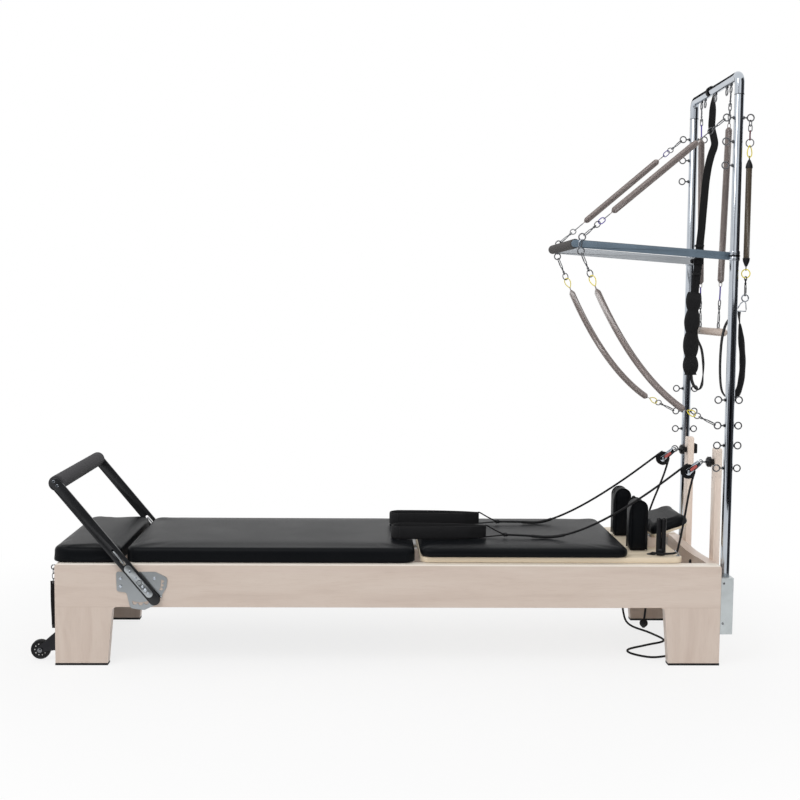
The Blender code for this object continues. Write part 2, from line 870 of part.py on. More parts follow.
pivot_place = (bar_pivot_x, 0, bar_pivot_z)
foot_joint = joint_empty("footbar_axis", pivot_place)
plate_outline = rounded([(bar_pivot_x + u, bar_pivot_z + v, r) for u, v, r in plate_corners])
lock_angle = bar_slope - math.pi
lock_hole = along((bar_pivot_x, bar_pivot_z), lock_angle, notch_radius)
arm_low = rail_face + 2 * fit_gap + plate_thickness + 0.004
arm_high = arm_low + bar_arm_thickness
grip_centre = along((bar_pivot_x, bar_pivot_z), bar_slope, bar_reach)
tail_end = along((bar_pivot_x, bar_pivot_z), lock_angle, bar_tail)
slot_start = along((bar_pivot_x, bar_pivot_z), bar_slope, slot_from)
slot_end = along((bar_pivot_x, bar_pivot_z), bar_slope, slot_to)
for side, sign in sides:
    low = sign * (rail_face + fit_gap)
    high = sign * (rail_face + fit_gap + plate_thickness)
    plate = add_part(f"footbar_plate_{side}",
                     slab([plate_outline, notch_outline(-24, 6, 3), notch_outline(-112, -66, 3),
                           circle(lock_hole, 0.005, small_faces)],
                          "XZ", min(low, high), max(low, high)), zinc)
    face = rail_face + fit_gap + plate_thickness
    join(plate, rod((bar_pivot_x, sign * (face - 0.001), bar_pivot_z),
                    (bar_pivot_x, sign * (arm_low - fit_gap), bar_pivot_z), bar_pin * 1.8))
    join(plate, rod((bar_pivot_x, sign * (face - 0.001), bar_pivot_z),
                    (bar_pivot_x, sign * (arm_high + 0.004), bar_pivot_z), bar_pin, round_faces))
    arm = add_part(f"footbar_arm_{side}",
                   slab([bar_outline(tail_end, grip_centre, bar_arm_width),
                         circle((bar_pivot_x, bar_pivot_z), bar_pin + bar_pin_clearance),
                         bar_outline(slot_start, slot_end, slot_width)],
                        "XZ", min(sign * arm_low, sign * arm_high), max(sign * arm_low, sign * arm_high)),
                   dark_paint, foot_joint)
grip_half = arm_low - fit_gap
grip_profile = [
    (0.0, grip_half), (grip_radius * 0.80, grip_half), (grip_radius, grip_half - 0.006),
    (grip_radius, -grip_half + 0.006), (grip_radius * 0.80, -grip_half), (0.0, -grip_half)]
add_part("footbar_grip", turned(grip_profile, (grip_centre[0], 0, grip_centre[1]), (0, 1, 0)),
         foam, foot_joint)

# Carriage
slide = joint_empty("carriage_axis", (board_from, 0, board_bottom))
half_board = board_width / 2
board_corners = rounded([
    (board_from, -half_board, board_corner), (board_to, -half_board, board_corner),
    (board_to, half_board, board_corner), (board_from, half_board, board_corner)])
rest_middle = rest_from + rest_thickness / 2
board_holes = [board_corners]
for side, sign in sides:
    board_holes.append(circle((rest_middle, sign * rest_spacing / 2),
                              rest_peg_radius + rest_peg_clearance))
    board_holes.append(circle((rope_hole_x, sign * rope_hole_y), rope_hole))
board = add_part("carriage_board", slab(board_holes, "XY", board_bottom, board_top), birch, slide)
roller_spots = []
for index, x in enumerate((board_from + roller_inset, board_to - roller_inset)):
    for side, sign in sides:
        roller_spots.append((x, sign))
ears = []
axles = []
for x, sign in roller_spots:
    inner_face = roller_y - roller_width / 2 - 0.001
    ear_low = min(sign * (inner_face - roller_ear), sign * inner_face)
    ear = rounded([(x - 0.016, board_bottom + 0.002, 0), (x - 0.010, roller_z - 0.010, 0.006),
                   (x + 0.010, roller_z - 0.010, 0.006), (x + 0.016, board_bottom + 0.002, 0)])
    ears.append(slab([ear], "XZ", ear_low, ear_low + roller_ear))
    axles.append(rod((x, sign * (inner_face - roller_ear / 2), roller_z),
                     (x, sign * (roller_y + roller_width / 2 + 0.002), roller_z), roller_axle, 8))
hook_z = board_bottom - 0.022
hook_span = carriage_spring_pitch * (carriage_springs - 1) / 2 + 0.030
hook_bars = []
hook_posts = []
for x in (carriage_spring_from, carriage_spring_to):
    hook_bars.append(rod((x, -hook_span, hook_z), (x, hook_span, hook_z), hook_bar_radius, 8))
    for sign in (-1, 1):
        y = sign * (hook_span - 0.008)
        hook_posts.append(box((x - 0.009, y - 0.005, hook_z - 0.009), (x + 0.009, y + 0.005, board_bottom + 0.002)))
join(board, together(ears))
join(board, together(axles))
join(board, together(hook_posts))
join(board, together(hook_bars))
eye_height = board_top + 0.0135
board_eyes = []
board_shanks = []
for side, sign in sides:
    y = sign * rope_eye_y
    board_eyes.append(ring((rope_eye_x, y, eye_height), (1, 0, 1), rope_eye_ring, 0.002))
    board_shanks.append(rod((rope_eye_x + rope_eye_lean, y, board_top - 0.004),
                            (rope_eye_x + rope_eye_lean, y, eye_height - 0.0062), 0.004, 8))
join(board, together(board_shanks))
join(board, together(board_eyes))
hinge_x = headrest_from
hinge_z = board_top + headrest_lift
join(board, box((hinge_x - prop_back, -prop_width / 2, board_top - 0.004),
                (hinge_x + prop_front, prop_width / 2, hinge_z - headrest_under - fit_gap)))

roller_profile = [
    (roller_bore, roller_width / 2), (roller_radius, roller_width / 2),
    (roller_radius, -roller_width / 2), (roller_bore, -roller_width / 2)]
for index, (x, sign) in enumerate(roller_spots):
    hub = (x, sign * roller_y, roller_z)
    spin = joint_empty(f"roller_axis_{index + 1}", hub, slide)
    add_part(f"carriage_roller_{index + 1}", turned(roller_profile, hub, (0, 1, 0)), plastic, spin)

for index in range(carriage_springs):
    y = (index - (carriage_springs - 1) / 2) * carriage_spring_pitch
    start = Vector((carriage_spring_from, y, hook_z))
    end = Vector((carriage_spring_to, y, hook_z))
    lead = Vector((hook_ring + 0.012, 0, 0))
    body = add_part(f"carriage_spring_{index + 1}",
                    rod(start + lead, end - lead, carriage_spring_radius, 8), steel, slide)
    tip = Vector((hook_ring - 0.0005, 0, 0))
    join(body, together([rod(start + tip, start + lead * 1.05, 0.003, 5),
                         rod(end - tip, end - lead * 1.05, 0.003, 5)]))
    join(body, together([ring(start, (0, 1, 0), hook_ring, hook_wire),
                         ring(end, (0, 1, 0), hook_ring, hook_wire)]))

pad = add_part("carriage_pad", cushion((carriage_pad_from, -pad_half, board_top + fit_gap),
                                       (carriage_pad_to, pad_half, pad_top)), leather, slide)
soft(pad)

for side, sign in sides:
    y = sign * rest_spacing / 2
    foot = board_top + fit_gap
    lift = joint_empty(f"rest_axis_{side}", (rest_middle, y, foot), slide)
    crown_radius = rest_thickness / 2
    high = foot + rest_height - crown_radius
    outline = [(rest_from, foot), (rest_from + rest_thickness, foot)]
    outline += arc((rest_middle, high), crown_radius, 0, 180, 12)
    rest = add_part(f"shoulder_rest_{side}",
                    slab([outline], "XZ", y - rest_width / 2, y + rest_width / 2), leather, lift)
    soften(rest, rest_round, 2, 50)
    join(rest, rod((rest_middle, y, board_bottom + 0.001), (rest_middle, y, foot + 0.02),
                   rest_peg_radius, round_faces))

head_joint = joint_empty("headrest_axis", (hinge_x, 0, hinge_z), slide)
head_mesh = cushion((hinge_x, -headrest_width / 2, hinge_z - headrest_under),
                    (hinge_x + headrest_length, headrest_width / 2, hinge_z + headrest_thickness),
                    0.003, 0.012, 0.002)
tilt = Matrix.Translation((hinge_x, 0, hinge_z)) @ Matrix.Rotation(-math.radians(headrest_tilt), 4, "Y")
head_mesh.transform(tilt @ Matrix.Translation((-hinge_x, 0, -hinge_z)))
headrest = add_part("headrest", head_mesh, leather, head_joint)
soft(headrest)

for side, sign in sides:
    y = sign * cleat_y
    foot = board_top + fit_gap
    profile = [
        (0.0, cleat_height - 0.004), (cleat_stem * 1.1, cleat_height - 0.006),
        (cleat_stem, cleat_height - 0.020), (cleat_stem * 0.9, 0.030),
        (cleat_stem * 1.3, 0.024), (cleat_base, 0.016), (cleat_base, 0.004),
        (cleat_base - 0.003, 0.0), (0.0, 0.0)]
    cleat = add_part(f"rope_cleat_{side}", turned(profile, (cleat_x, y, foot), (0, 0, 1), 10), plastic, slide)
    lobe_z = foot + cleat_height - 0.008
    join(cleat, together([ball((cleat_x - 0.010, y, lobe_z), cleat_lobe)]))
    join(cleat, together([ball((cleat_x + 0.010, y, lobe_z), cleat_lobe)]))

# Risers, knobs, pulleys
riser_from = frame_length + fit_gap
riser_to = riser_from + riser_thickness
for side, sign in sides:
    y = sign * riser_y
    outline = rounded([(y - riser_width / 2, riser_bottom, 0.006), (y + riser_width / 2, riser_bottom, 0.006),
                       (y + riser_width / 2, riser_top, 0.012), (y - riser_width / 2, riser_top, 0.012)])
    riser = add_part(f"riser_{side}", slab([outline], "YZ", riser_from, riser_to), maple)
    bolt_x = riser_from - bolt_reach
    join(riser, rod((bolt_x + bolt_ring - 0.0005, y, knob_z), (riser_from + 0.004, y, knob_z), bolt_radius, 8))
    join(riser, ring((bolt_x, y, knob_z), (0, 0, 1), bolt_ring, bolt_wire))
    knob_face = riser_from - fit_gap
    knob_centre = (knob_face, y, knob_z)
    knob_turn = joint_empty(f"knob_axis_{side}", knob_centre)
    knob_profile = [
        (knob_bore, 0.0), (knob_radius * 0.55, 0.0), (knob_radius * 0.60, -0.008), (knob_radius * 0.92, -0.010),
        (knob_radius, -0.014), (knob_radius, 0.006 - knob_length), (knob_radius * 0.80, 0.001 - knob_length),
        (knob_radius * 0.60, -knob_length), (knob_bore, -knob_length)]
    add_part(f"riser_knob_{side}", turned(knob_profile, knob_centre, (1, 0, 0)), plastic, knob_turn)

cheek_low = sheave_width / 2 + cheek_slack
cheek_high = cheek_low + cheek_thickness
sheave_profile = [
    (sheave_bore, sheave_width / 2), (sheave_radius, sheave_width / 2),
    (sheave_radius, sheave_width * 0.38), (groove_radius + 0.0012, sheave_width * 0.26),
    (groove_radius, 0.0), (groove_radius + 0.0012, -sheave_width * 0.26),
    (sheave_radius, -sheave_width * 0.38), (sheave_radius, -sheave_width / 2),
    (sheave_bore, -sheave_width / 2)]
swivel_x = riser_from - bolt_reach
block_run = math.hypot(swivel_x - shackle_offset - pulley_x, knob_rise)
block_tilt = math.atan2(knob_rise, swivel_x - shackle_offset - pulley_x)


def tilted(mesh, y):
    """A pulley block's shape, drawn level from its sheave's axle, turned to point at its eyebolt."""
    mesh.transform(Matrix.Translation((pulley_x, y, pulley_z)) @ Matrix.Rotation(-block_tilt, 4, "Y"))
    return mesh


for side, sign in sides:
    y = sign * riser_y
    swivel = joint_empty(f"pulley_axis_{side}", (swivel_x, y, knob_z))
    cheek_end = block_run - 0.0045
    outline = [(cheek_end, -0.009), (cheek_end, 0.009)] + arc((0, 0), groove_radius, 60, 300, 8)
    block = add_part(f"pulley_block_{side}", tilted(slab([outline], "XZ", -cheek_high, -cheek_low), y), chrome, swivel)
    join(block, tilted(slab([outline], "XZ", cheek_low, cheek_high), y))
    join(block, tilted(box((block_run - 0.0115, -cheek_high + 0.0005, -0.007),
                           (block_run - 0.006, cheek_high - 0.0005, 0.007)), y))
    join(block, tilted(rod((0, -cheek_high - 0.002, 0), (0, cheek_high + 0.002, 0), pulley_axle, 8), y))
    join(block, tilted(ring((block_run, 0, 0), (0, 1, 0), 0.0078, 0.0018), y))
    spin = joint_empty(f"sheave_axis_{side}", (pulley_x, y, pulley_z), swivel)
    add_part(f"pulley_sheave_{side}", turned(sheave_profile, (pulley_x, y, pulley_z), (0, 1, 0)), plastic, spin)

# Tower
socket_x = frame_length + fit_gap
for side, sign in sides:
    y = sign * post_y
    outer = sign * rail_face
    inner = sign * (rail_face - socket_width)
    socket = add_part(f"tower_socket_{side}",
                      box((socket_x, min(outer, inner), socket_from),
                          (socket_x + socket_depth, max(outer, inner), socket_to)), aluminium)
    cut(socket, rod((post_x, y, socket_from + socket_floor), (post_x, y, socket_to + 0.01),
                    post_radius + socket_clearance, round_faces))

push_joint = joint_empty("push_bar_axis", (post_x, 0, push_z))
pin_end = push_y - push_thickness / 2
for side, sign in sides:
    y = sign * post_y
    foot = socket_from + socket_floor + fit_gap
    post = add_part(f"tower_post_{side}", rod((post_x, y, foot), (post_x, y, post_joint - fit_gap),
                                              post_radius, round_faces), chrome)
    join(post, rod((post_x, y, push_z - push_collar_height / 2), (post_x, y, push_z + push_collar_height / 2),
                   push_collar, turned_faces))
    join(post, rod((post_x, sign * (pin_end - 0.004), push_z), (post_x, sign * (post_y - 0.01), push_z),
                   push_pin, 8))
    front, front_rings = eyebolts([(post_x, y, z) for z in front_eyes], (-1, 0, 0), (0, 1, 0),
                                  eye_reach, post_radius - 0.003)
    back, back_rings = eyebolts([(post_x, y, z) for z in back_eyes], (1, 0, 0), (0, 1, 0),
                                eye_reach, post_radius - 0.003)
    join(post, together([front, back]))
    join(post, together([front_rings, back_rings]))

bend_middle = tower_top - corner_bend
span = post_y - corner_bend
top_line = [Vector((post_x, -post_y, post_joint))]
for u, v in arc((-span, bend_middle), corner_bend, 180, 90, 5):
    top_line.append(Vector((post_x, u, v)))
for u, v in arc((span, bend_middle), corner_bend, 90, 0, 5):
    top_line.append(Vector((post_x, u, v)))
top_line.append(Vector((post_x, post_y, post_joint)))
top_bar = add_part("tower_top_bar", tube(top_line, post_radius, 2), chrome)
hang_shanks, hang_rings = eyebolts([(post_x, y, tower_top) for y in top_eyes], (0, 0, -1), (1, 0, 0),
                                   top_eye_drop, post_radius - 0.003)
join(top_bar, hang_shanks)
join(top_bar, hang_rings)

# Push-through bar: two flat arms on one tube
push_tip = along((post_x, push_z), push_slope, push_reach)
push_eye_place = along((post_x, push_z), push_slope, push_reach - push_eye_back)
across_bar = along((0, 0), push_slope - math.pi / 2, push_depth / 2 + eye_ring - 0.001)
push_outline = [bar_outline((post_x, push_z), push_tip, push_depth),
                circle((post_x, push_z), push_pin + 0.0005, 12)]
arm_in = push_y - push_thickness / 2
arm_out = push_y + push_thickness / 2
push = add_part("push_bar", slab(push_outline, "XZ", -arm_out, -arm_in), bar_paint, push_joint)
join(push, slab(push_outline, "XZ", arm_in, arm_out))
join(push, rod((push_tip[0], -push_y, push_tip[1]), (push_tip[0], push_y, push_tip[1]), push_core, turned_faces))
push_eyes = []
push_hooks = {}
for side, sign in sides:
    for level, way in (("upper", 1), ("lower", -1)):
        centre = Vector((push_eye_place[0] + way * across_bar[0], sign * push_y,
                         push_eye_place[1] + way * across_bar[1]))
        push_hooks[level, side] = centre
        push_eyes.append(ring(centre, (0, 1, 0), eye_ring, eye_wire))
join(push, together(push_eyes))
sleeve_half = arm_in - fit_gap
sleeve_profile = [
    (push_core + fit_gap, sleeve_half), (push_grip - 0.002, sleeve_half), (push_grip, sleeve_half - 0.002),
    (push_grip, -sleeve_half + 0.002), (push_grip - 0.002, -sleeve_half), (push_core + fit_gap, -sleeve_half)]
add_part("push_bar_grip", turned(sleeve_profile, (push_tip[0], 0, push_tip[1]), (0, 1, 0)), foam, push_joint)

for side, sign in sides:
    spring(f"tower_spring_upper_{side}", (post_x - eye_reach, sign * post_y, upper_eye),
           push_hooks["upper", side], 0.14, 0.80, tower_curls, None)
    low_eye = Vector((post_x - eye_reach, sign * post_y, lower_eye))
    hook = push_hooks["lower", side]
    sag = hook * 0.577 + low_eye * 0.423
    sag.z = hook.z - 0.873 * (hook.z - low_eye.z)
    spring(f"tower_spring_lower_{side}", low_eye, hook, 0.16, 0.88, tower_curls, None, sag)

# Roll-down bar
hang_z = tower_top - top_eye_drop
roll_joint = joint_empty("roll_down_axis", (post_x, 0, hang_z - eye_ring * ring_flat))
dowel_half = dowel_length / 2
dowel_profile = [(0.0, dowel_half), (dowel_radius * 0.7, dowel_half), (dowel_radius, dowel_half - 0.006),
                 (dowel_radius, -dowel_half + 0.006), (dowel_radius * 0.7, -dowel_half), (0.0, -dowel_half)]
dowel = add_part("roll_down_bar", turned(dowel_profile, (post_x, 0, dowel_z), (0, 1, 0), 10), maple, roll_joint)
dowel_eye = dowel_z + dowel_radius + eye_ring + 0.001
join(dowel, together([ring((post_x, sign * dowel_eye_y, dowel_eye - 0.0035), (1, 0, 0), eye_ring, eye_wire)
                      for side, sign in sides]))
for side, sign in sides:
    spring(f"roll_down_spring_{side}", (post_x, sign * roll_y, hang_z),
           (post_x, sign * dowel_eye_y, dowel_eye - 0.0035), 0.17, 0.83, roll_curls, roll_joint, across=(1, 0, 0))

# Arm spring and its padded strap on the near post
arm_hook = Vector((post_x + eye_reach, -post_y, arm_eye))
arm_link = linked(arm_hook, (0, 0, -1), eye_ring, eye_wire, link_ring, link_wire)
arm_joint = joint_empty("arm_spring_axis", arm_link + Vector((0, 0, link_ring * ring_flat)))
lower_ring = Vector((post_x + eye_reach, -post_y, handle_top + 0.046))
lower_link = linked(lower_ring, (0, 0, 1), eye_ring, eye_wire, link_ring, link_wire)
spring("arm_spring", arm_hook, lower_ring, 0.18, 0.80, tower_curls, arm_joint,
       lower_ring_radius=eye_ring, lower_ring_wire=eye_wire)
handle_joint = joint_empty("arm_handle_axis", lower_link - Vector((0, 0, link_ring * ring_flat)), arm_joint)


def band_outline(middle, half_width, low, high, thickness, steps=7):
    """A closed strap loop as an outer and an inner outline with round ends."""
    outer = arc((middle, high - half_width), half_width, 0, 180, steps)
    outer += arc((middle, low + half_width), half_width, 180, 360, steps)
    inner_half = half_width - thickness
    inner = arc((middle, high - half_width), inner_half, 0, 180, steps)
    inner += arc((middle, low + half_width), inner_half, 180, 360, steps)
    return [outer, inner]


handle = add_part("arm_handle",
                  slab(band_outline(handle_x, handle_width / 2, handle_bottom, handle_top, 0.014),
                       "XZ", handle_y - handle_band / 2 + 0.004, handle_y + handle_band / 2), webbing,
                  handle_joint)
top_of_handle = Vector((handle_x + 0.012, handle_y + 0.004, handle_top - 0.008))
tie = smooth_path([lower_ring + Vector((0, 0, -eye_ring)), lower_ring + Vector((0, 0.004, -0.030)),
                   Vector((post_x + 0.030, -post_y + 0.018, handle_top + 0.004)), top_of_handle], 4)
join(handle, tube(tie, 0.004, 1))
join(handle, ring(lower_ring, (0, 1, 0), eye_ring, eye_wire))

# Sling that hangs in front of the roll-down bar
sling_joint = joint_empty("sling_axis", (post_x, 0, tower_top))
sling_top = Vector((post_x, sling_y, tower_top))
cuff_low = sling_bottom
cuff_high = 1.480
cuff = band_outline(sling_x, 0.034, cuff_low, cuff_high, 0.009)
sling = add_part("sling", slab(cuff, "XZ", sling_y - sling_band / 2, sling_y + sling_band / 2),
                 webbing, sling_joint)
collar_gap = post_radius + 0.0015
collar = [circle((post_x, tower_top), collar_gap + 0.004), circle((post_x, tower_top), collar_gap)]
join(sling, slab(collar, "XZ", sling_y - 0.012, sling_y + 0.012))
strap_middle = (tower_top + cuff_high) / 2
hang_points = [(post_x - 0.004, tower_top - collar_gap - 0.002), (post_x - 0.022, tower_top - 0.12),
               (post_x - 0.024, strap_middle), (sling_x + 0.004, cuff_high + 0.10),
               (sling_x, cuff_high - 0.004)]
left = [(u - sling_strap / 2, v) for u, v in hang_points]
right = [(u + sling_strap / 2, v) for u, v in hang_points]
join(sling, slab([left + right[::-1]], "XZ", sling_y - sling_cloth / 2, sling_y + sling_cloth / 2))

# Foot strap on the foot end
ring_centre = linked(strap_eye, (0, 0, -1), strap_eye_ring, strap_eye_wire, strap_ring, strap_ring_wire)
strap_joint = joint_empty("foot_strap_axis", ring_centre + Vector((0, 0, strap_ring * ring_flat)))
strap_top = strap_eye.z - 0.030
half = strap_thickness / 2
strap_shape = [(-strap_standoff - half, strap_top), (-strap_standoff - half, strap_top - strap_length),
               (-strap_standoff + half, strap_top - strap_length), (-strap_standoff + half, strap_top)]
strap = add_part("foot_strap", slab([strap_shape], "XZ", strap_y - strap_width / 2, strap_y + strap_width / 2),
                 strap_cloth, strap_joint)
join(strap, rod(ring_centre + Vector((0, 0, -0.009)), (-strap_standoff, strap_y, strap_top - 0.010), 0.003, 8))
join(strap, ring(ring_centre, (1, 0, 0), strap_ring, strap_ring_wire))

# Ropes and hand loops
rope_z = mat_height + rope_lift + rope_radius
knot_z = mat_height + rope_lift + knot_radius
wrap_radius = groove_radius + rope_radius + 0.0006
pulley_turn = [Vector((u, 0, v)) for u, v in arc((pulley_x, pulley_z), wrap_radius, 124, -15, 8)]
rope_floor = rope_radius + fit_gap


def rope_route(sign, tail):
    """A rope's centre line from its knot, over the pulley, through the eye and down to its tail."""
    lying = [Vector((knot_x, sign * 0.135, knot_z)), Vector((knot_x + 0.080, sign * 0.142, rope_z + 0.004)),
             Vector((knot_x + 0.160, sign * 0.150, rope_z + 0.001))]
    over = [place + Vector((0, sign * riser_y, 0)) for place in pulley_turn]
    lean = Vector((knot_x + 0.300, sign * (riser_y + 0.008), 0.480))
    rising = [curved(lying[-1], lean, over[0], share) for share in (0.2, 0.4, 0.6, 0.8)]
    eye = Vector((rope_eye_x, sign * rope_eye_y, eye_height))
    entry = eye + Vector((0.006, sign * -0.002, 0.012))
    below = over[-1].lerp(entry, 0.14)
    below.y = sign * (riser_y + 0.0005)
    lower = over[-1].lerp(entry, 0.30)
    lower.y = sign * (riser_y + 0.010)
    down = [below, lower, entry, eye + Vector((-0.0055, sign * 0.0005, -0.0035)),
            Vector((cleat_x, sign * (cleat_y + cleat_base + 0.0085), board_top + 0.009)),
            Vector((cleat_x - 0.019, sign * (cleat_y + 0.014), board_top + 0.009)),
            Vector((rope_hole_x + 0.002, sign * (rope_hole_y + 0.008), board_top + 0.007)),
            Vector((rope_hole_x, sign * rope_hole_y, board_top - 0.006))]
    return lying + rising + over + down + tail


def under_hole(points):
    """Chosen points of a tail, given from the rope's hole, as places."""
    return [Vector((rope_hole_x + u, y, z)) for u, y, z in points]


near_tail = under_hole([(-0.006, -rope_hole_y, 0.320), (-0.012, -rope_hole_y, 0.220), (-0.020, -0.236, 0.129)])
far_tail = under_hole([
    (-0.004, rope_hole_y, 0.300), (-0.002, 0.236, 0.160), (0.006, 0.228, 0.050), (0.024, 0.190, 0.0095),
    (0.082, 0.090, rope_floor), (0.110, -0.020, rope_floor), (0.032, -0.080, rope_floor),
    (-0.052, -0.140, rope_floor), (-0.052, -0.195, rope_floor), (0.008, -0.242, rope_floor),
    (0.077, -0.222, rope_floor), (0.117, -0.190, rope_floor)])
for side, sign in sides:
    tail = near_tail if sign < 0 else far_tail
    route = rope_route(sign, tail)
    rope = add_part(f"rope_{side}", tube(route, rope_radius, 1), rubber)
    knot = route[0]
    join(rope, ball(knot, knot_radius))
    if sign < 0:
        join(rope, ball(near_tail[-1], 0.015))
    loop_middle = sign * loop_y
    tie_end = Vector((loop_to + 0.0125, loop_middle, mat_height + rope_lift + loop_height / 2))
    join(rope, tube([knot, (knot + tie_end) / 2, tie_end], 0.003, 1))

for side, sign in sides:
    y = sign * loop_y
    half = loop_width / 2
    shape = arc((loop_from + half, y), half, 90, 270, 8) + [(loop_to, y - 0.010), (loop_to + 0.010, y),
                                                            (loop_to, y + 0.010)]
    inner_half = half - loop_thickness
    hole = arc((loop_from + half, y), inner_half, 90, 270, 8) + [(loop_to - 0.006, y - 0.006),
                                                                 (loop_to - 0.006, y + 0.006)]
    low = mat_height + rope_lift
    add_part(f"hand_loop_{side}", slab([shape, hole], "XY", low, low + loop_height), webbing)

bpy.context.view_layer.update()
names = [made.name for made in parts.objects if made.type == "MESH"]
print(len(names), "nodes")
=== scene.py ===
# Pilates reformer with tower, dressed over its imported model
import math
import bmesh
import bpy
from mathutils import Matrix, Vector


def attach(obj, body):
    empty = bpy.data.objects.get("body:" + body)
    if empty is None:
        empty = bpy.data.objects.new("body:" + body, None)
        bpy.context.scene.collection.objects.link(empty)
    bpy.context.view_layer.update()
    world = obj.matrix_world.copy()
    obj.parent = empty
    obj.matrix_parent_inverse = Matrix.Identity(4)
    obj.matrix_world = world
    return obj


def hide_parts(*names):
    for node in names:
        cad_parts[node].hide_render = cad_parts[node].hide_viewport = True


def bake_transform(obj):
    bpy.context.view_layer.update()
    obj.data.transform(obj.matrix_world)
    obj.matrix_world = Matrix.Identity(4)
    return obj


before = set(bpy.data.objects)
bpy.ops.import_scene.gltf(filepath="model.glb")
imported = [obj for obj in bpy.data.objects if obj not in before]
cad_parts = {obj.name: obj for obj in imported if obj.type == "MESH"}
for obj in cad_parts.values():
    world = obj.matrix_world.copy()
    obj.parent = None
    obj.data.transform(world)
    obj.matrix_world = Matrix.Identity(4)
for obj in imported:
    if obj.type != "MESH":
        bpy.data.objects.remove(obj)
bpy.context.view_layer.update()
print("frame loaded,", len(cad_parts), "nodes")

# Camera, fitted to the photograph
view = {
    "place": (-0.0897, -4.5898, 1.283),
    "lens": 55.26,
    "yaw": -0.0304,
    "pitch": 0.0796,
    "roll": 0.0094,
    "sensor": 36,
    "farthest": 60,
}
level = Vector((math.cos(view["yaw"]), math.sin(view["yaw"]), 0))
ahead = Vector((-math.sin(view["yaw"]), math.cos(view["yaw"]), 0))
upward = Vector((0, 0, 1))
looking = ahead * math.cos(view["pitch"]) - upward * math.sin(view["pitch"])
headUp = ahead * math.sin(view["pitch"]) + upward * math.cos(view["pitch"])
toRight = level * math.cos(view["roll"]) + headUp * math.sin(view["roll"])
toTop = headUp * math.cos(view["roll"]) - level * math.sin(view["roll"])
cameraData = bpy.data.cameras.new("camera")
cameraData.lens = view["lens"]
cameraData.sensor_width = view["sensor"]
cameraData.clip_end = view["farthest"]
camera = bpy.data.objects.new("camera", cameraData)
bpy.context.scene.collection.objects.link(camera)
camera.matrix_world = Matrix.Translation(view["place"]) @ Matrix(
    (toRight, toTop, -looking)).transposed().to_4x4()
bpy.context.scene.camera = camera
bpy.context.scene.view_settings.view_transform = "Standard"

footEnd = 1.162175          # lengths are measured from the foot end, this far from the middle
sides = (("Near", "near", -1), ("Far", "far", 1))


def at(x, y, z):
    return Vector((x - footEnd, y, z))


# Working habits: select one thing, edit it, leave its place in its mesh

def only(piece, *others):
    bpy.ops.object.select_all(action="DESELECT")
    for one in (*others, piece):
        one.select_set(True)
    bpy.context.view_layer.objects.active = piece


def settle(piece, name):
    only(piece)
    bpy.ops.object.transform_apply(location=True, rotation=True, scale=True)
    piece.name = name
    piece.data.name = name
    return piece


def applyAll(piece):
    only(piece)
    for change in list(piece.modifiers):
        bpy.ops.object.modifier_apply(modifier=change.name)
    return piece


def pick(piece, kind, wanted):
    # opens edit mode with the faces, edges or points that pass the test
    only(piece)
    bpy.ops.object.mode_set(mode="EDIT")
    bpy.ops.mesh.select_mode(type=kind)
    bpy.ops.mesh.select_all(action="DESELECT")
    shape = bmesh.from_edit_mesh(piece.data)
    group = {"FACE": shape.faces, "EDGE": shape.edges, "VERT": shape.verts}[kind]
    for one in group:
        one.select_set(bool(wanted(one)))
    shape.select_flush_mode()
    bmesh.update_edit_mesh(piece.data)


def leave():
    bpy.ops.object.mode_set(mode="OBJECT")


def roundEdges(piece, width, segments, angle=30):
    only(piece)
    bpy.ops.object.mode_set(mode="EDIT")
    bpy.ops.mesh.select_mode(type="EDGE")
    bpy.ops.mesh.select_all(action="DESELECT")
    bpy.ops.mesh.edges_select_sharp(sharpness=math.radians(angle))
    bpy.ops.mesh.bevel(offset=width, segments=segments, affect="EDGES")
    leave()
    return piece


def cleanUp(piece):
    only(piece)
    bpy.ops.object.mode_set(mode="EDIT")
    bpy.ops.mesh.select_all(action="SELECT")
    bpy.ops.mesh.remove_doubles(threshold=0.00002)
    bpy.ops.mesh.normals_make_consistent(inside=False)
    leave()
    return piece


def together(name, pieces):
    pieces = list(pieces)
    only(pieces[0], *pieces[1:])
    if len(pieces) > 1:
        bpy.ops.object.join()
    return settle(pieces[0], name)


def facing(direction):
    return Vector(direction).to_track_quat("Z", "Y").to_euler()


def startBlock(name, low, high, edge=0.0, segments=3):
    low = Vector(low)
    high = Vector(high)
    bpy.ops.mesh.primitive_cube_add(size=1, location=(low + high) / 2)
    piece = bpy.context.active_object
    piece.scale = high - low
    settle(piece, name)
    return roundEdges(piece, edge, segments) if edge else piece


def startRod(name, start, end, radius, around, edge=0.0):
    start = Vector(start)
    end = Vector(end)
    bpy.ops.mesh.primitive_cylinder_add(vertices=around, radius=radius, depth=(end - start).length,
                                        location=(start + end) / 2, rotation=facing(end - start))
    piece = settle(bpy.context.active_object, name)
    return roundEdges(piece, edge, 2, 60) if edge else piece


def startRing(name, centre, normal, radius, wire, around=32, section=10):
    bpy.ops.mesh.primitive_torus_add(major_radius=radius, minor_radius=wire, major_segments=around,
                                     minor_segments=section, location=centre, rotation=facing(normal))
    return settle(bpy.context.active_object, name)


planeTurns = {
    "XZ": Matrix(((1, 0, 0, 0), (0, 0, -1, 0), (0, 1, 0, 0), (0, 0, 0, 1))),
    "YZ": Matrix(((0, 0, 1, 0), (1, 0, 0, 0), (0, 1, 0, 0), (0, 0, 0, 1))),
    "XY": Matrix.Identity(4),
}
planeNormals = {"XZ": Vector((0, 1, 0)), "YZ": Vector((1, 0, 0)), "XY": Vector((0, 0, 1))}


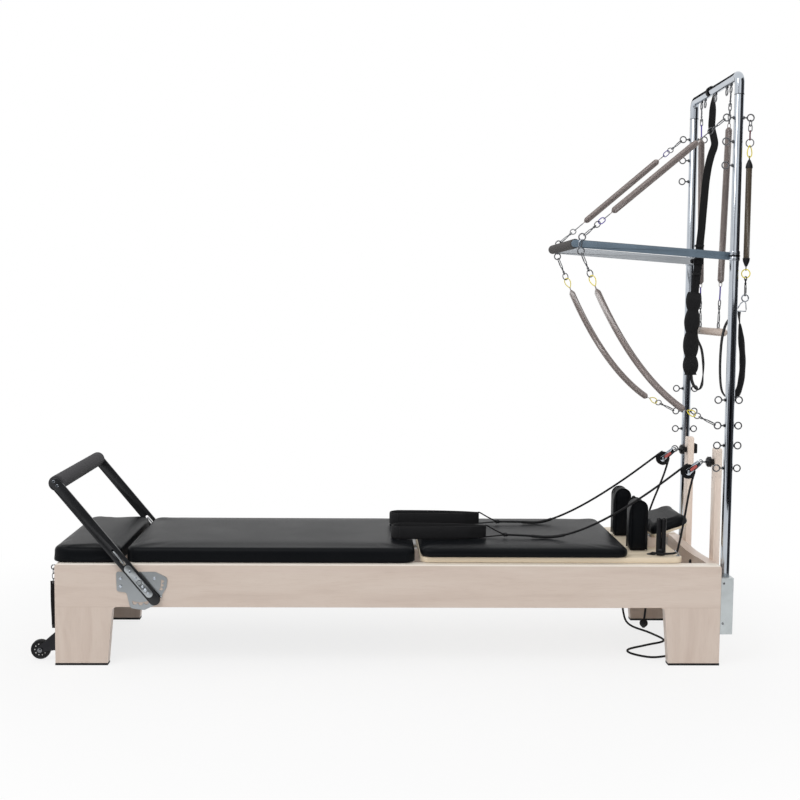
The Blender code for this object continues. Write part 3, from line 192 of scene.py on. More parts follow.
def startPlate(name, outlines, plane, low, high, edge=0.0, segments=2):
    # a flat outline, with holes after the first one, given a thickness; X is measured from the foot end
    data = bpy.data.curves.new(name, "CURVE")
    data.dimensions = "2D"
    data.fill_mode = "BOTH"
    data.extrude = (high - low) / 2
    back = footEnd if plane != "YZ" else 0
    for outline in outlines:
        line = data.splines.new("POLY")
        line.points.add(len(outline) - 1)
        for spot, place in zip(line.points, outline):
            spot.co = (place[0] - back, place[1], 0, 1)
        line.use_cyclic_u = True
    piece = bpy.data.objects.new(name, data)
    bpy.context.scene.collection.objects.link(piece)
    only(piece)
    bpy.ops.object.convert(target="MESH")
    middle = (low + high) / 2 - (footEnd if plane == "YZ" else 0)
    piece.matrix_world = Matrix.Translation(planeNormals[plane] * middle) @ planeTurns[plane]
    settle(piece, name)
    cleanUp(piece)
    return roundEdges(piece, edge, segments, 50) if edge else piece


def arc(middle, radius, start, end, steps):
    points = []
    for step in range(steps + 1):
        angle = math.radians(start + (end - start) * step / steps)
        points.append((middle[0] + radius * math.cos(angle), middle[1] + radius * math.sin(angle)))
    return points


def circle(middle, radius, steps):
    return arc(middle, radius, 0, 360 * (steps - 1) / steps, steps - 1)


def roundedOutline(corners, steps=6):
    outline = []
    for index, (u, v, radius) in enumerate(corners):
        here = Vector((u, v))
        if radius <= 0:
            outline.append((u, v))
            continue
        back = (Vector(corners[index - 1][:2]) - here).normalized()
        onward = (Vector(corners[(index + 1) % len(corners)][:2]) - here).normalized()
        half = back.angle(onward) / 2
        centre = here + (back + onward).normalized() * radius / math.sin(half)
        first = here + back * radius / math.tan(half) - centre
        last = here + onward * radius / math.tan(half) - centre
        sweepAngle = first.angle_signed(last)
        for step in range(steps + 1):
            outline.append(tuple(centre + Matrix.Rotation(-sweepAngle * step / steps, 2) @ first))
    return outline


def roundedBox(low, high, half, lowRadius, highRadius, steps=6):
    # a rectangle's outline, the same on both sides, with its own corner radius at each end
    return roundedOutline([(low, -half, lowRadius), (high, -half, highRadius),
                           (high, half, highRadius), (low, half, lowRadius)], steps)


def slotOutline(start, end, width, steps=12):
    angle = math.degrees(math.atan2(end[1] - start[1], end[0] - start[0]))
    return arc(start, width / 2, angle + 90, angle + 270, steps) + arc(end, width / 2, angle - 90, angle + 90, steps)


def stepFrom(start, angle, distance):
    return (start[0] + distance * math.cos(angle), start[1] + distance * math.sin(angle))


def spinProfile(name, profile, centre, axis, steps):
    # turns a profile of (radius, height) points about an axis
    mesh = bpy.data.meshes.new(name)
    mesh.from_pydata([(radius, 0, height) for radius, height in profile],
                     [(index, index + 1) for index in range(len(profile) - 1)], [])
    piece = bpy.data.objects.new(name, mesh)
    bpy.context.scene.collection.objects.link(piece)
    only(piece)
    bpy.ops.object.mode_set(mode="EDIT")
    bpy.ops.mesh.select_all(action="SELECT")
    bpy.ops.mesh.spin(steps=steps, angle=2 * math.pi, center=(0, 0, 0), axis=(0, 0, 1))
    leave()
    piece.matrix_world = Matrix.Translation(Vector(centre)) @ facing(axis).to_matrix().to_4x4()
    settle(piece, name)
    return cleanUp(piece)


def mirrored(half, middle=(), closed=False):
    # a spin profile from its upper half, what lies between, and the same half turned down
    below = [(radius, -height) for radius, height in reversed(half)]
    return [*half, *middle, *below, *(half[:1] if closed else [])]


def smoothPath(corners, perRun):
    corners = [Vector(corner) for corner in corners]
    ends = [2 * corners[0] - corners[1], *corners, 2 * corners[-1] - corners[-2]]
    points = []
    for index in range(1, len(ends) - 2):
        before, start, end, after = ends[index - 1:index + 3]
        for step in range(perRun):
            t = step / perRun
            points.append(0.5 * (2 * start + (end - before) * t
                                 + (2 * before - 5 * start + 4 * end - after) * t * t
                                 + (3 * start - before - 3 * end + after) * t ** 3))
    points.append(corners[-1])
    return points


def pathLength(points):
    return sum((second - first).length for first, second in zip(points, points[1:]))


def sweep(name, points, profile, sideways=None, closed=False, scaleAt=None):
    # carries a profile of (across, out) points along a path; its UV map runs in metres around and along
    count = len(points)
    shape = bmesh.new()
    uvMap = shape.loops.layers.uv.new("UVMap")
    rings = []
    along = [0.0]
    for index in range(1, count):
        along.append(along[-1] + (points[index] - points[index - 1]).length)
    across = None
    for index in range(count):
        before = points[index - 1] if index or closed else points[0]
        after = points[(index + 1) % count] if index < count - 1 or closed else points[-1]
        ahead = (after - before).normalized()
        if sideways is not None:
            wide = sideways(index / (count - 1)) if callable(sideways) else Vector(sideways)
            across = (wide - ahead * wide.dot(ahead)).normalized()
        elif across is None:
            start = Vector((0, 1, 0)) if abs(ahead.y) < 0.8 else Vector((1, 0, 0))
            across = (start - ahead * start.dot(ahead)).normalized()
        else:
            across = (across - ahead * across.dot(ahead)).normalized()
        out = ahead.cross(across)
        size = scaleAt(index / (count - 1)) if scaleAt else (1, 1)
        rings.append([shape.verts.new(points[index] + across * u * size[0] + out * v * size[1])
                      for u, v in profile])
    around = [0.0]
    for index in range(len(profile)):
        first = Vector(profile[index])
        second = Vector(profile[(index + 1) % len(profile)])
        around.append(around[-1] + (second - first).length)
    spans = list(range(count)) if closed else list(range(count - 1))
    for index in spans:
        first = rings[index]
        second = rings[(index + 1) % count]
        low = along[index]
        high = along[index + 1] if index + 1 < count else along[-1] + (points[0] - points[-1]).length
        for step in range(len(profile)):
            onward = (step + 1) % len(profile)
            face = shape.faces.new((first[step], first[onward], second[onward], second[step]))
            for loop, spot in zip(face.loops, ((around[step], low), (around[step + 1], low),
                                               (around[step + 1], high), (around[step], high))):
                loop[uvMap].uv = spot
    if not closed:
        shape.faces.new(rings[0][::-1])
        shape.faces.new(rings[-1])
    bmesh.ops.recalc_face_normals(shape, faces=shape.faces)
    mesh = bpy.data.meshes.new(name)
    shape.to_mesh(mesh)
    shape.free()
    piece = bpy.data.objects.new(name, mesh)
    bpy.context.scene.collection.objects.link(piece)
    return piece


def roundProfile(radius, around):
    return [(radius * math.cos(2 * math.pi * step / around), radius * math.sin(2 * math.pi * step / around))
            for step in range(around)]


def bandProfile(width, thickness, corners):
    # a flat strap's section, rounded at its edges
    radius = thickness / 2
    half = width / 2 - radius
    right = arc((half, 0), radius, -90, 90, corners * 2)
    left = arc((-half, 0), radius, 90, 270, corners * 2)
    return right + left


def wire(name, points, radius, around, closed=False):
    return sweep(name, [Vector(point) for point in points], roundProfile(radius, around), closed=closed)


def linkLoop(name, start, end, width, radius, turn):
    # an elongated ring of wire between two points
    start = Vector(start)
    end = Vector(end)
    long = (end - start).normalized()
    wide = (Vector(turn) - long * Vector(turn).dot(long)).normalized()
    half = width / 2
    reach = (end - start).length / 2 - half
    centre = (start + end) / 2
    points = []
    for u, v in arc((max(reach, 0.0), 0), half, -90, 90, 8) + arc((-max(reach, 0.0), 0), half, 90, 270, 8):
        points.append(centre + long * u + wide * v)
    return wire(name, points, radius, 8, closed=True)


finished = []


def finish(piece, body, tone, replaces=(), angle=35, slotName=None):
    # material and shading; the piece rides on the given body, while a piece given (first, second, start, end),
    # one that stretches between two bodies, is only fixed where it stands
    piece.data.materials.clear()
    piece.data.materials.append(finishes[tone])
    only(piece)
    bpy.ops.object.shade_smooth_by_angle(angle=math.radians(angle))
    slotName = slotName or slotOf[tone]
    if replaces:
        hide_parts(*replaces)
    if isinstance(body, tuple):
        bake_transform(piece)
    else:
        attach(piece, body)
    finished.append(piece)
    return piece


def dress(tone, *nodes):
    # CAD nodes that stay get a better material
    for node in nodes:
        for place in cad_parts[node].material_slots:
            place.material = finishes[tone]


# Shader maths, written as plain arithmetic

class Shade:
    def __init__(self, maker, socket):
        self.maker = maker
        self.socket = socket

    def __add__(self, other):
        return self.maker.maths("ADD", self, other)

    __radd__ = __add__

    def __mul__(self, other):
        return self.maker.maths("MULTIPLY", self, other)

    __rmul__ = __mul__

    def __sub__(self, other):
        return self.maker.maths("SUBTRACT", self, other)

    def __rsub__(self, other):
        return self.maker.maths("SUBTRACT", other, self)


class Finish:
    def __init__(self, name, colour, roughness, metallic=0.0, **fixed):
        self.material = bpy.data.materials.new(name)
        self.material.use_nodes = True
        self.material.diffuse_color = (*colour, 1)
        self.tree = self.material.node_tree
        self.shader = self.tree.nodes["Principled BSDF"]
        self.put("Base Color", (*colour, 1))
        self.put("Roughness", roughness)
        self.put("Metallic", metallic)
        for name, value in fixed.items():
            self.put(name.replace("_", " "), value)

    def put(self, name, value):
        socket = self.shader.inputs[name]
        if isinstance(value, Shade):
            self.tree.links.new(value.socket, socket)
        else:
            socket.default_value = value

    def node(self, kind, settings, output=0, **inputs):
        made = self.tree.nodes.new(kind)
        for name, value in (settings or {}).items():
            if name == "stops":
                while len(made.color_ramp.elements) < len(value):
                    made.color_ramp.elements.new(0.5)
                for stop, (place, colour) in zip(made.color_ramp.elements, value):
                    stop.position = place
                    stop.color = colour
            else:
                setattr(made, name, value)
        for name, value in inputs.items():
            socket = made.inputs[int(name[1:])] if name[0] == "i" and name[1:].isdigit() else made.inputs[name]
            if isinstance(value, Shade):
                self.tree.links.new(value.socket, socket)
            else:
                socket.default_value = value
        return Shade(self, made.outputs[output])

    def maths(self, operation, first, second=0.0):
        return self.node("ShaderNodeMath", {"operation": operation}, i0=first, i1=second)

    def sine(self, value):
        return self.maths("SINE", value)

    def above(self, value, edge, soft):
        return self.node("ShaderNodeMapRange", {"interpolation_type": "SMOOTHSTEP"},
                         i0=value, i1=edge - soft, i2=edge + soft, i3=0.0, i4=1.0)

    def blend(self, share, first, second):
        return self.node("ShaderNodeMix", {"data_type": "RGBA"}, 2, i0=share, i6=first, i7=second)

    def place(self, scale=(1, 1, 1)):
        spot = self.node("ShaderNodeTexCoord", None, "Object")
        return self.node("ShaderNodeMapping", None, 0, Vector=spot, Scale=scale)

    def split(self, vector, part):
        return self.node("ShaderNodeSeparateXYZ", None, part, Vector=vector)

    def clouds(self, vector, scale, detail, rough=0.5, twist=0.0):
        return self.node("ShaderNodeTexNoise", None, 0, Vector=vector, Scale=scale, Detail=detail,
                         Roughness=rough, Distortion=twist)

    def bump(self, height, distance, strength):
        self.put("Normal", self.node("ShaderNodeBump", None, 0, Height=height, Distance=distance, Strength=strength))

    def tint(self, colour, share, factor):
        # mixes a second colour into the first by a mask
        mixed = self.blend(factor * share, (*self.material.diffuse_color[:3], 1), (*colour, 1))
        self.put("Base Color", mixed)
        return mixed


legHeights = {"seam": 0.2085, "seamFrom": 0.2075, "seamTo": 0.209, "rim": 0.3572}
pitches = {"ply": 0.0028, "braidAround": 0.0042, "braidAlong": 0.0065}


def makeMaple(name, grain, legs=False, pale=1.0):
    # pale maple: long soft streaks, fine pores, a satin varnish; legs have their grain turned and a seam, and the
    # rail's top edge gets a painted highlight in cream
    maple = Finish(name, (0.7, 0.565, 0.445), 0.42, Coat_Weight=0.12, Coat_Roughness=0.3)

    def figure(direction):
        broad = [7, 7, 7]
        fine = [120, 120, 120]
        broad[direction] = 0.8
        fine[direction] = 5
        streaks = maple.clouds(maple.place(tuple(broad)), 3.0, 5.0, 0.55, 0.9)
        pores = maple.clouds(maple.place(tuple(fine)), 4.0, 2.0, 0.6)
        return streaks, pores

    streaks, pores = figure(grain)
    if legs:
        height = maple.split(maple.node("ShaderNodeTexCoord", None, "Object"), "Z")
        upright, uprightPores = figure(2)
        isLeg = maple.above(height, legHeights["seam"], 0.0006)
        streaks = streaks * isLeg + upright * (1 - isLeg)
        pores = pores * isLeg + uprightPores * (1 - isLeg)
    stops = [(spot, (*(min(0.9, part * pale) for part in tone), 1)) for spot, tone in (
        (0.3, (0.61, 0.5, 0.43)), (0.5, (0.66, 0.552, 0.478)), (0.72, (0.692, 0.592, 0.517)))]
    tone = maple.node("ShaderNodeValToRGB", {"stops": stops}, 0, Fac=streaks)
    flecks = maple.above(pores, 0.62, 0.08)
    colour = maple.blend(flecks * 0.16, tone, (0.47, 0.35, 0.26, 1))
    if legs:
        seam = maple.above(height, legHeights["seamFrom"], 0.0004) * (1 - maple.above(height, legHeights["seamTo"],
                                                                                      0.0004))
        colour = maple.blend(seam * 0.35, colour, (0.42, 0.31, 0.23, 1))
        # painted highlight: above the rim height the rail is painted cream along its lit top edge
        rim = maple.above(height, legHeights["rim"], 0.0008)
        colour = maple.blend(rim * 0.8, colour, (0.93, 0.87, 0.78, 1))
    maple.put("Base Color", colour)
    maple.put("Roughness", 0.37 + pores * 0.12)
    maple.bump(pores, 0.00012, 0.5)
    return maple.material


def makePly():
    # birch plywood: thin layers show on its edges
    ply = Finish("birchPly", (0.83, 0.72, 0.55), 0.45, Coat_Weight=0.1, Coat_Roughness=0.35)
    spot = ply.node("ShaderNodeTexCoord", None, "Object")
    layers = ply.above(ply.sine(ply.split(spot, "Z") * (2 * math.pi / pitches["ply"])), 0.55, 0.25)
    figure = ply.clouds(ply.place((0.9, 10, 10)), 3.0, 4.0, 0.55, 0.6)
    tone = ply.blend(figure, (0.86, 0.76, 0.6, 1), (0.76, 0.63, 0.46, 1))
    ply.put("Base Color", ply.blend(layers * 0.35, tone, (0.56, 0.42, 0.28, 1)))
    ply.bump(ply.clouds(ply.place((5, 90, 90)), 4.0, 2.0), 0.0001, 0.4)
    return ply.material


def makeVinyl():
    # black upholstery vinyl with a fine pebble grain
    vinyl = Finish("blackVinyl", (0.004, 0.0046, 0.0056), 0.4, Specular_IOR_Level=0.06)
    pebbles = vinyl.node("ShaderNodeTexVoronoi", {"feature": "DISTANCE_TO_EDGE"}, 0, Vector=vinyl.place(),
                         Scale=420.0)
    creases = vinyl.clouds(vinyl.place(), 60.0, 4.0, 0.6)
    wear = vinyl.clouds(vinyl.place(), 3.5, 4.0, 0.55)
    vinyl.tint((0.0078, 0.0088, 0.0104), 0.9, wear)
    vinyl.put("Roughness", 0.3 + wear * 0.14)
    vinyl.bump(vinyl.above(pebbles, 0.1, 0.1) * 0.7 + creases * 0.3, 0.00022, 0.35)
    return vinyl.material


def makeWeave(name, colour, rib=0.0016, shine=0.7):
    # webbing: twill ribs that follow the strap
    weave = Finish(name, colour, shine, Sheen_Weight=0.06, Sheen_Roughness=0.6, Specular_IOR_Level=0.18)
    spot = weave.node("ShaderNodeTexCoord", None, "UV")
    around = weave.split(spot, "X")
    along = weave.split(spot, "Y")
    ribs = weave.sine((around + along * 0.6) * (2 * math.pi / rib))
    cross = weave.sine((around - along * 0.6) * (2 * math.pi / rib))
    threads = weave.maths("MAXIMUM", ribs, cross)
    dust = weave.clouds(weave.place(), 35.0, 3.0)
    lighter = tuple(min(1, part * 2.2 + 0.003) for part in colour)
    weave.tint(lighter, 0.8, weave.above(threads, 0.3, 0.5) * dust)
    weave.put("Roughness", 0.62 + dust * 0.25)
    weave.bump(threads, 0.0003, 0.6)
    return weave.material


def makeRope():
    # round braided cord, in diamonds
    rope = Finish("braidedCord", (0.006, 0.006, 0.007), 0.55, Sheen_Weight=0.04, Specular_IOR_Level=0.18)
    spot = rope.node("ShaderNodeTexCoord", None, "UV")
    around = rope.split(spot, "X") * (2 * math.pi / pitches["braidAround"])
    along = rope.split(spot, "Y") * (2 * math.pi / pitches["braidAlong"])
    braid = rope.maths("MAXIMUM", rope.sine(around + along), rope.sine(around - along))
    rope.tint((0.016, 0.016, 0.018), 0.8, rope.above(braid, 0.4, 0.5))
    rope.put("Roughness", 0.45 + rope.clouds(rope.place(), 80.0, 2.0) * 0.3)
    rope.bump(braid, 0.0004, 0.8)
    return rope.material


def makeMetal(name, colour, roughness, brushed=(1, 1, 1), spread=0.08, metallic=1.0):
    # metal with a faint drawn or brushed direction and handling marks
    metal = Finish(name, colour, roughness, metallic)
    lines = metal.clouds(metal.place(brushed), 90.0, 3.0, 0.6)
    marks = metal.clouds(metal.place(), 12.0, 4.0, 0.6)
    darker = tuple(part * 0.82 for part in colour)
    metal.tint(darker, 0.5, metal.above(marks, 0.55, 0.2))
    metal.put("Roughness", roughness - spread / 2 + lines * spread)
    metal.bump(lines, 0.00003, 0.35)
    return metal.material


def makeMoulded(name, colour, roughness, grain=260.0, depth=0.00012):
    # moulded rubber, plastic or powder coat
    moulded = Finish(name, colour, roughness, Specular_IOR_Level=0.28)
    skin = moulded.clouds(moulded.place(), grain, 2.0, 0.6)
    wear = moulded.clouds(moulded.place(), 9.0, 3.0, 0.5)
    lighter = tuple(min(1, part * 1.45 + 0.004) for part in colour)
    moulded.tint(lighter, 0.7, wear)
    moulded.put("Roughness", roughness - 0.05 + wear * 0.12)
    moulded.bump(skin, depth, 0.4)
    return moulded.material


def makePaint(name, colour, roughness, metallic, inner=None):
    # satin metallic paint, a little lighter along worn places; a pair's inner faces are painted pale grey, which is
    # painted light
    paint = Finish(name, colour, roughness, metallic, Coat_Weight=0.15, Coat_Roughness=0.25)
    flakes = paint.clouds(paint.place(), 700.0, 1.0)
    wear = paint.clouds(paint.place(), 14.0, 4.0, 0.6)
    lighter = tuple(min(1, part * 1.35 + 0.01) for part in colour)
    shade = paint.tint(lighter, 0.6, paint.above(wear, 0.5, 0.25))
    # painted light: faces nearer the middle than the inner limit get a pale grey in place of the paint
    if inner:
        apart = paint.maths("ABSOLUTE", paint.split(paint.place(), "Y"))
        paint.put("Base Color", paint.blend(1 - paint.above(apart, inner, 0.0001), shade, (0.5, 0.53, 0.56, 1)))
    paint.put("Roughness", roughness - 0.06 + flakes * 0.14)
    paint.bump(flakes, 0.00004, 0.3)
    return paint.material


finishes = {
    "rail": makeMaple("mapleRail", 0, legs=True),
    "boardAcross": makeMaple("mapleAcross", 1, pale=1.12),
    "boardUpright": makeMaple("mapleUpright", 2, pale=1.36),
    "ply": makePly(),
    "vinyl": makeVinyl(),
    "webbing": makeWeave("blackWebbing", (0.0055, 0.0055, 0.0062)),
    "softWebbing": makeWeave("paddedWebbing", (0.0075, 0.0075, 0.0085), 0.0024, 0.8),
    "rope": makeRope(),
    "chrome": makeMetal("chrome", (0.52, 0.56, 0.61), 0.09, (1, 1, 0.05), 0.04),
    "bright": makeMetal("brightSteel", (0.2, 0.205, 0.215), 0.22),
    "knob": makeMoulded("knobPlastic", (0.008, 0.008, 0.009), 0.26),
    "zinc": makeMetal("zincPlate", (0.5, 0.53, 0.55), 0.36, (0.1, 1, 1), 0.14),
    "socket": makePaint("socketGrey", (0.53, 0.57, 0.58), 0.42, 0.35),
    "track": makeMetal("trackAluminium", (0.66, 0.68, 0.69), 0.34, (0.05, 1, 1), 0.12),
    "spring": makeMetal("springNickel", (0.36, 0.31, 0.295), 0.48, (1, 1, 1), 0.05, 0.75),
    "armSpring": makeMetal("springBrown", (0.19, 0.155, 0.115), 0.48, (1, 1, 1), 0.05, 0.75),
    "darkMetal": makeMetal("blackOxide", (0.032, 0.032, 0.035), 0.32),
    "armPaint": makePaint("darkGreyPaint", (0.016, 0.017, 0.019), 0.3, 0.4),
    "pushPaint": makePaint("blueGreyPaint", (0.115, 0.16, 0.205), 0.42, 0.25, 0.2583),
    "foam": makeMoulded("gripFoam", (0.036, 0.035, 0.038), 0.78, 900.0, 0.0003),
    "darkFoam": makeMoulded("pushGripFoam", (0.06, 0.056, 0.055), 0.8, 900.0, 0.0003),
    "rubber": makeMoulded("blackRubber", (0.008, 0.008, 0.009), 0.6),
    "plastic": makeMoulded("blackPlastic", (0.007, 0.007, 0.008), 0.34),
    "dowel": makeMaple("beechDowel", 1),
    "yellow": makeMoulded("yellowCoat", (0.74, 0.6, 0.045), 0.35),
    "violet": makeMoulded("violetCoat", (0.085, 0.055, 0.3), 0.35),
    "darkRed": makeMoulded("darkRedCoat", (0.09, 0.012, 0.025), 0.4),
    "redInlay": makeMoulded("redInlay", (0.42, 0.095, 0.085), 0.3),
    "paleDots": makeMoulded("paleDots", (0.55, 0.55, 0.53), 0.5),
}
# Which finish slot goes with which material
slotGroups = {
    "maple": "boardAcross boardUpright dowel",
    "birch_edge": "ply",
    "black_leather": "vinyl",
    "black_webbing": "webbing softWebbing",
    "black_rubber": "rope rubber",
    "grip_foam": "foam darkFoam",
    "chrome": "chrome bright",
    "zinc_plate": "zinc",
    "aluminium": "paleDots",
    "spring_steel": "spring armSpring",
    "dark_grey_paint": "armPaint",
    "blue_grey_paint": "pushPaint",
    "black_plastic": "darkMetal plastic knob redInlay yellow violet darkRed",
}
slotOf = {tone: slotName for slotName, tones in slotGroups.items() for tone in tones.split()}
print("materials made,", len(finishes))

# Frame: rails, head board, tracks, sockets, rollers and plates keep their solids and get better materials

frameSizes = {
    "length": 2.35, "rail": 0.33, "railInner": 0.292, "railTop": 0.362, "endThickness": 0.025,
    "endBottom": 0.03, "endDrop": 0.004, "footPad": 0.008, "padProud": 0.0008, "legFoot": 0.182, "gap": 0.0003,
}
dress("rail", "side_rail_near", "side_rail_far")
dress("boardAcross", "head_end_board")
dress("track", "track_near", "track_far")
dress("socket", "tower_socket_near", "tower_socket_far")
dress("plastic", *(f"carriage_roller_{index + 1}" for index in range(4)))
dress("zinc", "spring_bar", "footbar_plate_near", "footbar_plate_far")

f = frameSizes
for side, cadSide, sign in sides:
    for end, low, high in (("Foot", 0.0, f["legFoot"]), ("Head", f["length"] - f["legFoot"], f["length"])):
        proud = f["padProud"]
        yLow, yHigh = sorted((sign * (f["rail"] + proud), sign * (f["railInner"] - proud)))
        pad = startBlock(f"footPad{end}{side}", at(low - proud, yLow, 0.0), at(high + proud, yHigh, f["footPad"]))
        pick(pad, "FACE", lambda face: face.normal.z < -0.9)
        bpy.ops.mesh.inset(thickness=0.004)
        leave()
        roundEdges(pad, 0.0006, 2, 60)
        finish(pad, "base", "rubber")

board = startBlock("footEndPanel", at(0, -f["railInner"] + f["gap"], f["endBottom"]),
                   at(f["endThickness"], f["railInner"] - f["gap"], f["railTop"] - f["endDrop"]), 0.003, 3)
finish(board, "base", "boardAcross", ("foot_end_board",))

# Transport wheels and their brackets
wheelSizes = {
    "back": 0.069, "radius": 0.035, "z": 0.037, "y": 0.255, "width": 0.024, "dots": 10,
    "wall": 0.003, "slack": 0.001, "axle": 0.005, "bracketLow": 0.006, "bracketHigh": 0.075, "dotCircle": 0.02,
}
w = wheelSizes
for side, cadSide, sign in sides:
    y = sign * w["y"]
    inside = w["width"] / 2 + w["slack"]
    outside = inside + w["wall"]
    low = f["endBottom"] + w["bracketLow"]
    high = f["endBottom"] + w["bracketHigh"]
    outline = roundedOutline([(0.0, low, 0), (0.0, high, 0), (-0.01, high, 0.006),
                              (-w["back"] - 0.008, w["z"] + 0.01, 0.008),
                              (-w["back"] - 0.008, w["z"] - 0.01, 0.008), (-0.02, low, 0.006)])
    cheeks = [startPlate("cheek", [outline], "XZ", y - outside, y - inside, 0.0007),
              startPlate("cheek", [outline], "XZ", y + inside, y + outside, 0.0007)]
    back = startBlock("back", at(-w["wall"], y - outside - 0.008, low + 0.001),
                      at(-0.0002, y + outside + 0.008, high - 0.001), 0.0008)
    screws = []
    for z in (low + 0.016, high - 0.016):
        for reach in (-1, 1):
            place = at(-w["wall"], y + reach * (outside + 0.0045), z)
            screws.append(spinProfile("screw", [(0, 0.0018), (0.0022, 0.0016), (0.0034, 0.0004), (0.0034, -0.001)],
                                      place, (-1, 0, 0), 20))
    bracket = together(f"wheelBracket{side}", [*cheeks, back, *screws])
    finish(bracket, "base", "darkMetal")
    half = outside + 0.003
    profile = mirrored([(0, half + 0.003), (0.003, half + 0.003), (0.0055, half + 0.0018), (0.0085, half + 0.0015),
                        (0.0085, half - 0.003), (w["axle"], half - 0.003)])
    axle = spinProfile(f"wheelAxle{side}", profile, at(-w["back"], y, w["z"]), (0, 1, 0), 28)
    finish(axle, "base", "bright")
    r = w["radius"]
    b = w["width"] / 2
    profile = mirrored([(0.0056, b), (0.011, b), (0.0125, b - 0.0015), (0.014, b - 0.004), (0.026, b - 0.004),
                        (0.0275, b - 0.0025), (0.03, b - 0.0005), (0.0325, b - 0.001), (0.0345, b - 0.004),
                        (r, b - 0.007)], closed=True)
    wheel = spinProfile(f"transportWheel{side}", profile, at(-w["back"], y, w["z"]), (0, 1, 0), 64)
    finish(wheel, f"wheel_{cadSide}", "rubber", (f"transport_wheel_{cadSide}",))
    dots = []
    for face in (-1, 1):
        for step in range(w["dots"]):
            angle = 2 * math.pi * step / w["dots"]
            place = at(-w["back"] + w["dotCircle"] * math.cos(angle), y + face * (b - 0.0038),
                       w["z"] + w["dotCircle"] * math.sin(angle))
            dots.append(spinProfile("dot", [(0, 0.0006), (0.0016, 0.0005), (0.0022, 0.0), (0.0022, -0.0008)],
                                    place, (0, face, 0), 16))
    finish(together(f"wheelRivets{side}", dots), f"wheel_{cadSide}", "paleDots")
print("frame and wheels done")

# Foot strap: eye, ring, link, D-ring, tapered strap and end piece
strapSizes = {
    "x": -0.024, "y": -0.24, "eyeZ": 0.33, "eyeRing": 0.0085, "eyeWire": 0.002, "ringZ": 0.3166,
    "width": 0.026, "bottom": 0.112,
}
s = strapSizes
eye = startRing("eye", at(s["x"], s["y"], s["eyeZ"]), (0, 1, 0), s["eyeRing"], s["eyeWire"])
shank = startRod("shank", at(0.003, s["y"], s["eyeZ"]), at(s["x"] + 0.0078, s["y"], s["eyeZ"]), 0.003, 20)
collar = startRod("collar", at(-0.0002, s["y"], s["eyeZ"]), at(-0.0025, s["y"], s["eyeZ"]), 0.007, 24, 0.0008)
finish(together("footStrapEye", [eye, shank, collar]), "base", "bright")
ringZ = s["ringZ"]
hangs = [startRing("ring", at(s["x"], s["y"], ringZ), (1, 0, 0), 0.0105, 0.0016),
         linkLoop("link", at(s["x"], s["y"], ringZ - 0.0085), at(s["x"], s["y"], ringZ - 0.0295), 0.011, 0.0015,
                  (1, 0, 0))]
corners = [(-0.013, 0.014), (0.013, 0.014), (0.0145, 0.011), (0.012, 0.004), (0.005, 0), (-0.005, 0),
           (-0.012, 0.004), (-0.0145, 0.011)]
dRing = [at(s["x"], s["y"] + u, ringZ - 0.0275 - v) for u, v in corners]
hangs.append(wire("dRing", dRing, 0.0018, 8, True))
clip = startBlock("clip", at(s["x"] - 0.006, s["y"] - 0.014, s["bottom"]),
                  at(s["x"] + 0.006, s["y"] + 0.014, s["bottom"] + 0.014), 0.002)
finish(together("footStrapRings", hangs), "foot_strap", "bright")
points = [at(s["x"], s["y"], ringZ - 0.036), at(s["x"], s["y"], 0.27), at(s["x"] - 0.001, s["y"], 0.23),
          at(s["x"] - 0.001, s["y"], 0.19), at(s["x"], s["y"], 0.15), at(s["x"], s["y"], s["bottom"] + 0.008)]
strap = sweep("footStrap", smoothPath(points, 5), bandProfile(s["width"], 0.0055, 3), (1, 0.45, 0),
              scaleAt=lambda t: (1.0 - 0.25 * t, 1.0))
finish(strap, "foot_strap", "webbing", ("foot_strap",))
finish(clip, "foot_strap", "plastic")

